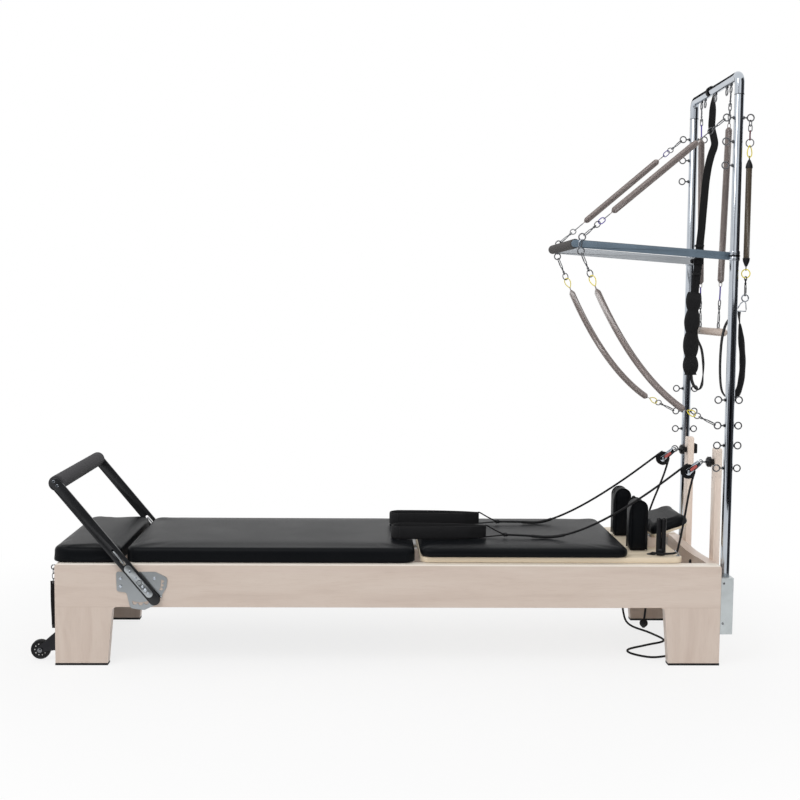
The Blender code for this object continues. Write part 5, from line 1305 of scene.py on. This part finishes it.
carriageSprings = {"radius": 0.0115, "wire": 0.0018, "pitch": 0.0046, "hook": 0.0105, "room": 0.026}
for index, y in enumerate(c["springY"]):
    start = at(c["springs"][0], y, c["hookZ"])
    end = at(c["springs"][1], y, c["hookZ"])
    length = (end - start).length
    room = carriageSprings["room"]
    curls = (length - 2 * room) / carriageSprings["pitch"]
    points = coilPoints(start, (start + end) / 2, end, room / length, 1 - room / length, carriageSprings["radius"],
                        curls, 14, 1.0, 0.35)
    parts = [wire("coil", points, carriageSprings["wire"], 6)]
    for tipAt, way in ((start, 1), (end, -1)):
        parts.append(startRing("hook", tipAt, (0, 1, 0), carriageSprings["hook"], 0.0018, 28, 8))
        parts.append(startRod("lead", tipAt + Vector((way * 0.01, 0, 0)), tipAt + Vector((way * 0.028, 0, 0)),
                              0.0018, 12))
    finish(together(f"carriageSpring{index + 1}", parts), "carriage", "spring",
           (f"carriage_spring_{index + 1}",), 50)
print("carriage springs done")

# Tower springs with their links; every chain runs from the spring's end out to the eye that holds it

springSizes = {
    "radius": 0.0113, "armRadius": 0.0098, "wire": 0.00115, "pitch": 0.0024, "eye": 0.0118, "eyeWire": 0.0024,
    "ring": 0.0019, "link": 0.0018, "linkWidth": 0.019, "dropWidth": 0.023, "turnedBy": 32, "overlap": 0.0024,
    "hookIn": 0.004, "hookOut": 0.013, "hookWidth": 0.01, "hookWire": 0.0013, "chainOut": 0.0115,
    "cord": 0.0026, "lead": 0.0019, "shortWidth": 0.012, "shortLink": 0.0017, "snap": 0.0017, "snapWidth": 0.0068,
    "loopWidth": 0.0095, "seat": 0.0016, "upperSpan": (0.2, 0.79), "lowerSpan": (0.215, 0.868),
    "sagHook": 0.577, "sagEye": 0.423, "sagDrop": 0.873,
}
k = springSizes


def tearDrop(name, start, end, width, radius, turn):
    # a link that is round at its start and comes to a point at its end
    start = Vector(start)
    end = Vector(end)
    long = (end - start).normalized()
    wide = (Vector(turn) - long * Vector(turn).dot(long)).normalized()
    length = (end - start).length
    points = []
    for step in range(24):
        angle = 2 * math.pi * step / 24
        along = (1 - math.cos(angle)) / 2
        across = math.sin(angle) * width / 2 * (1 - along) ** 0.35 * 1.25
        points.append(start + long * along * length + wide * across)
    return wire(name, points, radius, 8, True)


def snapHook(start, end, turn):
    # a gated hook with a swivel barrel at its start
    start = Vector(start)
    end = Vector(end)
    long = (end - start).normalized()
    length = (end - start).length
    parts = [linkLoop("hook", start + long * length * 0.42, end, k["snapWidth"], k["snap"], turn)]
    profile = [(0, length * 0.46), (0.003, length * 0.44), (0.004, length * 0.36), (0.0026, length * 0.3),
               (0.0026, length * 0.22), (0.0044, length * 0.2), (0.0044, length * 0.13), (0, length * 0.12)]
    parts.append(spinProfile("barrel", profile, start, long, 20))
    wide = (Vector(turn) - long * Vector(turn).dot(long)).normalized()
    gate = start + long * length * 0.56 + wide * k["snapWidth"] / 2
    parts.append(startRod("gate", gate, gate + long * length * 0.3, k["snap"] * 1.35, 12, 0.0004))
    loop = linkLoop("loop", start, start + long * length * 0.22, k["loopWidth"], k["snap"] * 0.9, long.cross(wide))
    parts.append(loop)
    return parts


def chain(start, end, links, turn):
    # links of (kind, share of the length, material), laid end to end and leaning to either side in turn
    start = Vector(start)
    end = Vector(end)
    long = (end - start).normalized()
    across = (Vector(turn) - long * Vector(turn).dot(long)).normalized()
    flat = long.cross(across)
    total = sum(share for kind, share, tone in links)
    made = {}
    place = start
    for index, (kind, share, tone) in enumerate(links):
        onward = place + (end - start) * share / total
        low = place - long * (k["overlap"] if index else 0)
        high = onward + long * (k["overlap"] if index < len(links) - 1 else 0)
        lean = math.radians(k["turnedBy"] if index % 2 == 0 else -k["turnedBy"])
        way = flat * math.cos(lean) + across * math.sin(lean)
        if kind == "ring":
            half = (high - low).length / 2
            parts = [startRing("ring", (low + high) / 2, long.cross(way), half, k["ring"], 32, 10)]
        elif kind == "drop":
            parts = [tearDrop("drop", high, low, k["dropWidth"], k["link"], way)]
        elif kind == "tear":
            parts = [tearDrop("drop", low, high, k["dropWidth"], k["link"], way)]
        elif kind == "snap":
            parts = snapHook(low, high, way)
        elif kind == "cord":
            parts = [wire("cord", [low, low + (high - low) * 0.5 + flat * 0.0006, high], k["cord"], 10)]
        elif kind == "lead":
            parts = [wire("lead", [low, (low + high) / 2, high], k["lead"], 10)]
        elif kind == "oval":
            parts = [linkLoop("link", low, high, k["linkWidth"], k["link"], way)]
        else:
            parts = [linkLoop("link", low, high, k["shortWidth"], k["shortLink"], way)]
        made.setdefault(tone, []).extend(parts)
        place = onward
    return made


def makeTowerSpring(name, node, body, start, end, fromShare, toShare, startLinks, endLinks, bend=None,
                    turn=(0, 1, 0), tone="spring"):
    start = Vector(start)
    end = Vector(end)
    bend = (start + end) / 2 if bend is None else Vector(bend)
    length = (end - start).length * (toShare - fromShare)
    coilRadius = k["radius"] if tone == "spring" else k["armRadius"]
    points = coilPoints(start, bend, end, fromShare, toShare, coilRadius, length / k["pitch"], 12, 5.0)
    coil = wire("coil", points, k["wire"], 5)
    firstTip = onCurve(start, bend, end, fromShare)
    lastTip = onCurve(start, bend, end, toShare)
    firstWay = (bend - start).normalized()
    lastWay = (bend - end).normalized()
    reach = k["eye"] - k["eyeWire"] - k["seat"]
    hooks = []
    for place, way in ((firstTip, firstWay), (lastTip, lastWay)):
        hooks.append(linkLoop("hook", place + way * k["hookIn"], place - way * k["hookOut"], k["hookWidth"],
                              k["hookWire"], turn))
    finish(together(name, [coil, *hooks]), body, tone, (node,), 50)
    groups = {}
    for found in (chain(firstTip - firstWay * k["chainOut"], start + firstWay * reach, startLinks, turn),
                  chain(lastTip - lastWay * k["chainOut"], end + lastWay * reach, endLinks, turn)):
        for key, parts in found.items():
            groups.setdefault(key, []).extend(parts)
    for key, parts in groups.items():
        finish(together(f"{name}{key[0].upper()}{key[1:]}", parts), body, key, angle=50)


upperEye = t["front"][0]
lowerEye = t["front"][4]
for side, cadSide, sign in sides:
    eye = at(t["x"] - t["reach"], sign * t["y"], upperEye)
    upperLinks = [("lead", 90, "bright"), ("ring", 42, "bright"), ("snap", 130, "bright")]
    lowerLinks = [("lead", 60, "bright"), ("oval", 52, "violet"), ("ring", 44, "bright"), ("snap", 125, "bright")]
    if side == "Far":
        upperLinks = [("lead", 40, "bright"), ("oval", 54, "violet"), ("ring", 38, "bright"), ("snap", 112, "bright")]
        lowerLinks = [("lead", 90, "bright"), ("ring", 40, "bright"), ("snap", 130, "bright")]
    hook = pushHooks["upper", cadSide]
    makeTowerSpring(f"upperSpring{side}", f"tower_spring_upper_{cadSide}", ("base", "push_bar", eye, hook), eye, hook,
                    *k["upperSpan"], upperLinks, lowerLinks)
    hook = pushHooks["lower", cadSide]
    eye = at(t["x"] - t["reach"], sign * t["y"], lowerEye)
    sag = hook * k["sagHook"] + eye * k["sagEye"]
    sag.z = hook.z - k["sagDrop"] * (hook.z - eye.z)
    makeTowerSpring(f"lowerSpring{side}", f"tower_spring_lower_{cadSide}", ("base", "push_bar", eye, hook), eye,
                    hook, *k["lowerSpan"], [("drop", 78, "yellow"), ("ring", 46, "bright"), ("snap", 160, "bright")],
                    [("drop", 70, "yellow"), ("ring", 40, "bright"), ("snap", 125, "bright")], sag)
print("tower springs done")

# Steel bands at the push bar's tips show as a bright crescent with a ring above and below
crescentSizes = {"out": 0.013, "in": 0.002, "side": 0.0062, "reach": 0.0158, "wire": 0.0021, "steps": 12}
m = crescentSizes
bands = []
for side, cadSide, sign in sides:
    y = sign * u["y"]
    middle = (Vector(pushHooks["upper", cadSide]) + Vector(pushHooks["lower", cadSide])) / 2
    outward = (at(pushTip[0], y, pushTip[1]) - at(pushPivot[0], y, pushPivot[1])).normalized()
    line = []
    for step in range(m["steps"] + 1):
        angle = math.radians(-90 + 180 * step / m["steps"])
        line.append(middle + outward * (m["out"] * math.cos(angle) - m["in"]) + Vector((0, sign * m["side"], 0))
                    + outward.cross(Vector((0, 1, 0))) * (m["reach"] * math.sin(angle)))
    bands.append(wire("crescent", line, m["wire"], 10))
finish(together("pushBarCrescents", bands), "push_bar", "chrome", angle=50)

# Roll-down bar: beech dowel with rounded ends, on two springs
rollSizes = {"z": 1.184, "radius": 0.014, "half": 0.201, "y": 0.19, "eyeY": 0.12, "eyeZ": 1.2073,
             "span": (0.155, 0.815)}
d = rollSizes
r = d["radius"]
half = d["half"]
profile = mirrored([(0, half), (r * 0.5, half), (r * 0.8, half - 0.003), (r * 0.98, half - 0.01), (r, half - 0.014)],
                   [(r, 0)])
dowel = spinProfile("rollDownDowel", profile, at(t["x"], 0, d["z"]), (0, 1, 0), 40)
finish(dowel, "roll_down", "dowel", ("roll_down_bar",))
eyes = []
for side, cadSide, sign in sides:
    y = sign * d["eyeY"]
    eyes += [startRing("eye", at(t["x"], y, d["eyeZ"]), (1, 0, 0), k["eye"], k["eyeWire"], 36, 12),
             startRod("shank", at(t["x"], y, d["z"] + 0.01), at(t["x"], y, d["z"] + 0.0135), 0.0032, 18),
             startRod("washer", at(t["x"], y, d["z"] + r - 0.0006), at(t["x"], y, d["z"] + r + 0.0008), 0.0062, 24,
                      0.0003)]
finish(together("rollDownEyes", eyes), "roll_down", "bright")
hangZ = t["top"] - t["drop"]
rollLinks = {"Near": [("link", 1.2, "bright")] * 4 + [("snap", 3.6, "bright")],
             "Far": [("cord", 3.4, "violet"), ("link", 1.2, "bright"), ("snap", 3.6, "bright")]}
for side, cadSide, sign in sides:
    y = sign * d["y"]
    makeTowerSpring(f"rollSpring{side}", f"roll_down_spring_{cadSide}", "roll_down", at(t["x"], y, hangZ),
                    at(t["x"], sign * d["eyeY"], d["eyeZ"]), *d["span"], rollLinks[side],
                    [("cord", 3.2, "violet"), ("ring", 1.5, "bright"), ("snap", 4.0, "bright")], turn=(1, 0, 0))
print("roll-down bar done")

# Arm spring: darker coil with a black cone at each end, and its padded strap handle
armSizes = {"x": 2.4143, "y": -0.292, "top": 1.933, "low": 1.308, "handleY": -0.2585, "band": 0.026,
            "from": 0.258, "to": 0.795}
a = armSizes
upperLinks = [("lead", 30, "darkMetal"), ("tear", 66, "yellow"), ("ring", 40, "bright"), ("cord", 55, "darkRed"),
              ("link", 34, "bright"), ("link", 34, "bright")]
lowerLinks = [("lead", 30, "darkMetal"), ("ring", 40, "yellow"), ("snap", 106, "darkMetal")]
makeTowerSpring("armSpringCoil", "arm_spring", "arm_spring", at(a["x"], a["y"], a["top"]),
                at(a["x"], a["y"], a["low"]), a["from"], a["to"], upperLinks, lowerLinks, tone="armSpring")
span = a["top"] - a["low"]
cones = []
for z, way in ((a["top"] - a["from"] * span, 1), (a["top"] - a["to"] * span, -1)):
    profile = [(0.003, 0.018), (0.0056, 0.014), (0.0112, 0.0), (0.0124, -0.008), (0.0122, -0.012), (0.0116, -0.008),
               (0.005, 0.01), (0.003, 0.018)]
    cones.append(spinProfile("cone", profile, at(a["x"], a["y"], z), (0, 0, way), 32))
finish(together("armSpringCones", cones), "arm_spring", "plastic")

steel = [startRing("ring", at(a["x"], a["y"], a["low"]), (0, 1, 0), k["eye"], k["eyeWire"], 36, 12)]
corners = [(-0.003, 0.0, 1.298), (0.004, 0.003, 1.29), (0.0085, 0.01, 1.27), (0.0085, 0.014, 1.262),
           (-0.0235, 0.014, 1.262), (-0.0235, 0.01, 1.27), (-0.013, 0.003, 1.29)]
dLink = [at(a["x"] + px, a["y"] + py, pz) for px, py, pz in corners]
steel.append(wire("dLink", dLink, 0.002, 10, True))
finish(together("armHandleSteel", steel), "arm_handle", "chrome")


def bandTurn(stops):
    # the strap's broad side turns along its length, between the given shares
    def towards(share):
        for (low, first), (high, second) in zip(stops, stops[1:]):
            if low <= share <= high:
                mix = (share - low) / (high - low)
                return (Vector(first) * (1 - mix) + Vector(second) * mix).normalized()
        return Vector(stops[-1][1])
    return towards


line = smoothPath([at(px, a["handleY"], pz) for px, pz in [
    (2.405, 1.264), (2.406, 1.24), (2.411, 1.2), (2.417, 1.15), (2.4225, 1.095), (2.4225, 1.04), (2.415, 0.99),
    (2.401, 0.959), (2.383, 0.952), (2.364, 0.96), (2.35, 0.985), (2.3435, 1.04), (2.343, 1.105), (2.347, 1.165),
    (2.358, 1.212), (2.378, 1.243), (2.396, 1.262)]], 5)
strap = sweep("armHandleStrap", line, bandProfile(a["band"], 0.0042, 2),
              bandTurn([(0, (0.7, 0.7, 0)), (0.12, (0.2, 1, 0)), (1, (0, 1, 0))]))
finish(strap, "arm_handle", "webbing", ("arm_handle",), 50)


def cushion(share):
    # the pad swells from its ends and ripples a little
    swell = min(1.0, 0.35 + 4.0 * min(share, 1 - share))
    return (1, swell * (1 + 0.05 * math.sin(34 * share)))


pad = sweep("armHandlePad", line[8:40], bandProfile(0.027, 0.021, 4), bandTurn([(0, (0.2, 1, 0)), (1, (0, 1, 0))]),
            scaleAt=cushion)
finish(pad, "arm_handle", "softWebbing", angle=60)
stitches = []
for index in range(10, 38, 2):
    spot = line[index] + Vector((0, -0.0132, 0))
    ahead = (line[index + 1] - line[index]).normalized()
    stitches.append(wire("stitch", [spot - ahead * 0.0022, spot + Vector((0, -0.0006, 0)), spot + ahead * 0.0022],
                         0.0006, 6))
finish(together("armHandleStitches", stitches), "arm_handle", "webbing", angle=50)
print("arm spring and handle done")

# Sling: collar over the top bar, doubled hanging strap with its slack, wavy padded cuff and return loop
slingSizes = {"y": 0.075, "width": 0.03, "thick": 0.0046, "collar": 0.024, "cuff": 0.058, "cuffThick": 0.027}
s = slingSizes
centre = (t["x"], t["top"])
loop = [at(px, s["y"] - 0.017, pz) for px, pz in arc(centre, t["radius"] + 0.0028, -60, 240, 26)]
collar = sweep("slingCollar", loop, bandProfile(s["collar"], 0.0032, 2), (0, 1, 0))
finish(collar, "sling", "webbing", ("sling",), 50)
front = [(2.379, 2.062, 0.057), (2.379, 2.035, 0.057), (2.378, 1.99, 0.058), (2.377, 1.95, 0.058),
         (2.385, 1.915, 0.058), (2.39, 1.885, 0.059), (2.38, 1.85, 0.062), (2.372, 1.815, 0.064),
         (2.367, 1.78, 0.066), (2.363, 1.74, 0.069), (2.36, 1.68, 0.072), (2.357, 1.62, 0.075),
         (2.354, 1.566, 0.076), (2.348, 1.5, 0.075), (2.342, 1.415, 0.075), (2.339, 1.37, 0.075),
         (2.334, 1.325, 0.074)]
points = smoothPath([at(px, py, pz) for px, pz, py in front], 5)
strapAcross = bandTurn([(0, (0.35, 1, 0)), (0.1, (1, 0.35, 0)), (0.5, (1, 0.1, 0)), (1, (1, 0.03, 0))])
strap = sweep("slingStrap", points, bandProfile(s["width"], s["thick"], 2), strapAcross)
second = smoothPath([at(px + 0.002, py + 0.0075, pz - 0.004) for px, pz, py in front[:-4]]
                    + [at(2.347, 0.081, 1.42)], 5)
back = sweep("slingStrapBack", second, bandProfile(s["width"] * 0.94, 0.0042, 2), strapAcross)
finish(together("slingStraps", [strap, back]), "sling", "webbing", angle=50)
keeper = [startBlock("keeper", at(2.332, s["y"] - 0.009, 1.503), at(2.364, s["y"] + 0.015, 1.511), 0.0014),
          startBlock("keeper", at(2.324, s["y"] - 0.009, 1.396), at(2.356, s["y"] + 0.012, 1.404), 0.0014)]
slide = [startBlock("bar", at(x, s["y"] - 0.0095, z), at(toX, s["y"] - 0.005, toZ), 0.0012) for x, z, toX, toZ in (
    (2.3265, 1.455, 2.363, 1.46), (2.3255, 1.436, 2.362, 1.441),
    (2.3255, 1.436, 2.3295, 1.46), (2.359, 1.436, 2.363, 1.46))]
finish(together("slingKeepers", keeper), "sling", "softWebbing", angle=50)
finish(together("slingBuckle", slide), "sling", "darkMetal", angle=50, slotName="chrome")


def waves(share):
    # the padded cuff swells between its stitched waists
    swell = abs(math.sin(math.pi * (share * 4.0 + 0.1))) ** 0.7
    ends = min(1.0, 6 * min(share, 1 - share) + 0.35)
    return (0.7 + 0.34 * swell, (0.5 + 0.55 * swell) * ends)


cuffPath = smoothPath([at(px, py, pz) for px, pz, py in [
    (2.334, 1.33, 0.075), (2.3305, 1.29, 0.074), (2.328, 1.24, 0.073), (2.326, 1.195, 0.074), (2.325, 1.14, 0.074),
    (2.3255, 1.09, 0.074), (2.3265, 1.05, 0.075), (2.327, 1.015, 0.075)]], 9)
cuff = sweep("slingCuff", cuffPath, bandProfile(s["cuff"], s["cuffThick"], 4), (1, 0, 0), scaleAt=waves)
finish(cuff, "sling", "softWebbing", angle=60)
returnPath = smoothPath([at(px, py, pz) for px, pz, py in [
    (2.33, 1.025, 0.079), (2.335, 0.992, 0.08), (2.347, 0.968, 0.08), (2.361, 0.96, 0.08), (2.372, 0.972, 0.08),
    (2.377, 1.005, 0.081), (2.3775, 1.06, 0.083), (2.369, 1.115, 0.084), (2.351, 1.157, 0.084),
    (2.348, 1.205, 0.084), (2.349, 1.27, 0.084), (2.348, 1.325, 0.083), (2.346, 1.372, 0.081)]], 6)
back = sweep("slingReturn", returnPath, bandProfile(s["width"], s["thick"], 2),
             bandTurn([(0, (0.5, 0.85, 0)), (0.2, (0.5, 0.85, 0)), (0.36, (0.5, 0.85, 0)), (0.5, (0.05, 1, 0)),
                       (0.7, (0.05, 1, 0)), (1, (0.6, 0.8, 0))]))
finish(back, "sling", "webbing", angle=50)
print("sling done")

# Hand loops on edge, each with its lining and hem
loopSizes = {"from": 1.18, "hem": 1.5265, "y": 0.14, "half": 0.043, "low": 0.4231, "height": 0.046, "thick": 0.0048}
m = loopSizes
for side, cadSide, sign in sides:
    y = sign * m["y"]
    low = m["low"]
    half = m["half"] - m["thick"] / 2
    line = [(m["hem"] + 0.001, y - 0.0034), (m["hem"] - 0.01, y - 0.0066), (1.47, y - 0.0205), (1.39, y - 0.0345),
            (1.3, y - half * 0.985)]
    line += [(px, py) for px, py in arc((m["from"] + m["half"], y), half, 262, 98, 16)]
    line += [(1.3, y + half * 0.985), (1.39, y + 0.0345), (1.47, y + 0.0205), (m["hem"] - 0.01, y + 0.0066),
             (m["hem"] + 0.001, y + 0.0034)]
    middle = low + m["height"] / 2
    points = smoothPath([at(px, py, middle) for px, py in line], 3)
    loop = sweep(f"handLoop{side}", points, bandProfile(m["height"], m["thick"], 2), (0, 0, 1))
    finish(loop, "mat_insert", "webbing", (f"hand_loop_{cadSide}",), 50)
    hems = []
    for px in (m["hem"] - 0.006, m["hem"] - 0.0015):
        hems.append(startRod("hem", at(px, y - 0.0098, low + 0.001), at(px, y - 0.0098, low + m["height"] - 0.001),
                             0.0007, 8))
    lining = sweep("lining", points[6:-6], bandProfile(m["height"] * 0.86, m["thick"] * 1.35, 2), (0, 0, 1))
    finish(together(f"handLoopLining{side}", [lining, *hems]), "mat_insert", "softWebbing", angle=60)
print("hand loops done")

# Ropes: from the hand loop's knot over the pulley, through the eye and hole and down to the tail

ropeSizes = {
    "radius": 0.004, "hem": 1.525, "knot": (1.6, 0.135, 0.4328), "topZ": 0.4268, "pulley": (2.257, 0.678),
    "wrap": 0.0236, "y": 0.19, "eye": (2.2035, 0.262, 0.396), "cleat": (2.15, 0.25), "holeX": 2.118, "holeY": 0.238,
    "boardTop": 0.3825, "floor": 0.0043,
}
v = ropeSizes


def knotPath(centre, size):
    # a trefoil, flattened a little, which is an overhand knot drawn tight
    points = []
    for step in range(48):
        angle = 2 * math.pi * step / 48
        points.append(Vector(centre) + Vector((size * (math.sin(angle) + 2 * math.sin(2 * angle)),
                                               size * (math.cos(angle) - 2 * math.cos(2 * angle)),
                                               -size * 1.35 * math.sin(3 * angle))))
    return points


def ropeRoute(sign, tail):
    kx, ky, kz = v["knot"]
    lying = [Vector((kx, ky, kz)), Vector((kx + 0.08, 0.142, v["topZ"] + 0.004)),
             Vector((kx + 0.16, 0.15, v["topZ"] + 0.001))]
    over = [Vector((px, v["y"], pz)) for px, pz in arc(v["pulley"], v["wrap"], 124, -15, 8)]
    lean = Vector((kx + 0.32, v["y"] + 0.008, 0.442))
    rising = [onCurve(lying[-1], lean, over[0], share) for share in (0.2, 0.4, 0.6, 0.8)]
    eye = Vector(v["eye"])
    entry = eye + Vector((0.006, -0.002, 0.012))
    below = over[-1].lerp(entry, 0.14)
    below.y = v["y"] + 0.0005
    lower = over[-1].lerp(entry, 0.3)
    lower.y = v["y"] + 0.01
    cleatX, cleatY = v["cleat"]
    top = v["boardTop"]
    down = [below, lower, over[-1].lerp(entry, 0.65), entry, eye + Vector((-0.0055, 0.0005, -0.0035)),
            Vector((cleatX, cleatY + 0.0235, top + 0.009)), Vector((cleatX - 0.019, cleatY + 0.014, top + 0.009)),
            Vector((v["holeX"] + 0.002, v["holeY"] + 0.008, top + 0.007)),
            Vector((v["holeX"], v["holeY"], top - 0.006))]
    route = [at(spot.x, sign * spot.y, spot.z) for spot in lying + rising + over + down]
    return smoothPath(route + [at(*spot) for spot in tail], 5)


floorZ = v["floor"]
tails = {
    "Near": [(2.112, -v["holeY"], 0.32), (2.106, -v["holeY"], 0.22), (2.098, -0.236, 0.129)],
    "Far": [(2.114, v["holeY"], 0.3), (2.116, 0.236, 0.16), (2.124, 0.228, 0.05), (2.142, 0.19, 0.0095),
            (2.2, 0.09, floorZ), (2.228, -0.02, floorZ), (2.15, -0.08, floorZ), (2.066, -0.14, floorZ),
            (2.066, -0.195, floorZ), (2.126, -0.242, floorZ), (2.195, -0.222, floorZ), (2.235, -0.19, floorZ)],
}
for side, cadSide, sign in sides:
    route = ropeRoute(sign, tails[side])
    rope = sweep(f"rope{side}", route, roundProfile(v["radius"], 12))
    finish(rope, "base", "rope", (f"rope_{cadSide}",), 60)
    knot = at(v["knot"][0], sign * v["knot"][1], v["knot"][2])
    pieces = [wire("knot", knotPath(knot, 0.0026), 0.0036, 8, True)]
    hemX = v["hem"]
    low = m["low"]
    y = sign * m["y"]
    for z, rise in ((low + 0.004, -0.0015), (low + 0.042, 0.0025)):
        line = smoothPath([at(hemX - 0.002, y, low + 0.023), at(hemX, y, z),
                           at(hemX + 0.006, y - sign * 0.0004, z + rise),
                           at(1.56, y - sign * 0.0022, z * 0.5 + knot.z * 0.5 + rise),
                           at(1.592, y - sign * 0.0046, knot.z + rise)], 5)
        pieces.append(wire("tie", line, 0.0026, 8))
    finish(together(f"ropeKnot{side}", pieces), "base", "rope", angle=60)
    sleeveLine = route[6:15]
    sleeve = sweep(f"ropeSleeve{side}", sleeveLine, roundProfile(v["radius"] + 0.0016, 14))
    finish(sleeve, "base", "rubber", angle=50)
    ends = [f"ropeKnot{side}", f"ropeSleeve{side}"]
    if side == "Near":
        tail = at(*tails["Near"][-1])
        profile = [(0, 0.015), (0.004, 0.0146), (0.0095, 0.0118), (0.014, 0.0058), (0.015, 0), (0.014, -0.0058),
                   (0.0095, -0.0118), (0.0052, -0.0146), (0.0052, -0.0165), (0, -0.0172)]
        ball = spinProfile("ropeTailBall", profile, tail, (0.04, 0, 1), 40)
        finish(ball, "base", "rubber")
        ends.append("ropeTailBall")
    start = tuple(route[0])
    pathLength(route)
print("ropes done")

# Floor, backdrop light and lamps

stageSizes = {"floor": 9.0, "clear": 1.2, "fade": 2.4, "world": 0.62, "key": 62, "fill": 26, "rim": 24}
g = stageSizes
bpy.ops.mesh.primitive_plane_add(size=2 * g["floor"], location=(0, 0, -0.0006))
floor = settle(bpy.context.active_object, "floor")
paper = Finish("floorPaper", (0.86, 0.86, 0.86), 0.9)
spot = paper.node("ShaderNodeTexCoord", None, "Object")
distance = paper.node("ShaderNodeVectorMath", {"operation": "LENGTH"}, 1, Vector=spot)
fade = paper.node("ShaderNodeMapRange", {"interpolation_type": "SMOOTHSTEP"},
                  i0=distance, i1=g["clear"], i2=g["fade"], i3=0.8, i4=1.0)
rays = paper.tree.nodes.new("ShaderNodeLightPath")
seen = paper.maths("MAXIMUM", Shade(paper, rays.outputs["Is Camera Ray"]),
                   Shade(paper, rays.outputs["Is Glossy Ray"]))
glow = paper.tree.nodes.new("ShaderNodeEmission")
mixed = paper.tree.nodes.new("ShaderNodeMixShader")
paper.tree.links.new((fade * seen).socket, mixed.inputs[0])
paper.tree.links.new(paper.shader.outputs[0], mixed.inputs[1])
paper.tree.links.new(glow.outputs[0], mixed.inputs[2])
paper.tree.links.new(mixed.outputs[0], paper.tree.nodes["Material Output"].inputs["Surface"])
floor.data.materials.append(paper.material)

world = bpy.data.worlds.new("studio")
bpy.context.scene.world = world
world.use_nodes = True
tree = world.node_tree
back = tree.nodes["Background"]
rays = tree.nodes.new("ShaderNodeLightPath")
direct = tree.nodes.new("ShaderNodeMath")
direct.operation = "MAXIMUM"
tree.links.new(rays.outputs["Is Camera Ray"], direct.inputs[0])
tree.links.new(rays.outputs["Is Glossy Ray"], direct.inputs[1])
level = tree.nodes.new("ShaderNodeMapRange")
tree.links.new(direct.outputs[0], level.inputs[0])
level.inputs[3].default_value = g["world"]
level.inputs[4].default_value = 1.0
tree.links.new(level.outputs[0], back.inputs["Strength"])
back.inputs["Color"].default_value = (1, 1, 1, 1)

for name, place, aim, width, power in (
        ("key", (-1.8, -2.4, 3.9), (0.1, 0, 0.5), 2.4, g["key"]),
        ("fill", (2.6, -3.4, 1.9), (0.2, 0, 0.8), 1.6, g["fill"]),
        ("rim", (0.6, 3.2, 3.0), (0.0, 0, 0.7), 2.2, g["rim"])):
    lamp = bpy.data.lights.new(name, "AREA")
    lamp.shape = "SQUARE"
    lamp.size = width
    lamp.energy = power
    holder = bpy.data.objects.new(name, lamp)
    bpy.context.scene.collection.objects.link(holder)
    holder.location = place
    holder.visible_glossy = name == "key"
    holder.rotation_euler = (Vector(aim) - Vector(place)).to_track_quat("-Z", "Y").to_euler()

# Cards that only gloss sees: a dark room in front, and the streaks in the posts
post = (t["x"], 0.0)
cards = [("cardLow", [(-0.55, -1.62), (3.5, -1.62)], 0.04, 0.8, 0.006),
         ("cardBehind", [(-2.2, -6.3), (5.2, -6.3)], 0.1, 1.9, 0.03),
         ("cardTop", [(1.5, 3.0), (2.7, 3.0)], 2.45, 3.8, 0.01)]
for name, away, bottom, top, slices in (
        ("cardStreak", 1.7, 0.05, 3.4, ((18, 32, 0.006), (32, 58, 0.06), (58, 92, 0.012), (-38, -24, 0.25))),
        ("cardFoot", 0.8, 0.02, 0.55, ((18, 32, 0.006), (32, 58, 0.05), (58, 92, 0.012)))):
    for index, (low, high, tone) in enumerate(slices):
        ends = [(post[0] + away * math.sin(math.radians(angle)), post[1] - away * math.cos(math.radians(angle)))
                for angle in (low, high)]
        cards.append((f"{name}{index}", ends, bottom, top, tone))
for name, ends, low, high, tone in cards:
    grey = Finish(name, (0.0, 0.0, 0.0), 1.0, Emission_Strength=1.0, Specular_IOR_Level=0.0)
    grey.put("Emission Color", (tone, tone, tone * 1.1, 1))
    (x0, y0), (x1, y1) = ends
    outline = [(x0, y0), (x1, y1), (x1 + 0.002, y1 - 0.004), (x0 + 0.002, y0 - 0.004)]
    card = startPlate(name, [outline], "XY", low, high)
    card.data.materials.append(grey.material)
    for ray in ("camera", "diffuse", "shadow", "transmission"):
        setattr(card, f"visible_{ray}", False)
print("stage done,", len(finished), "pieces")
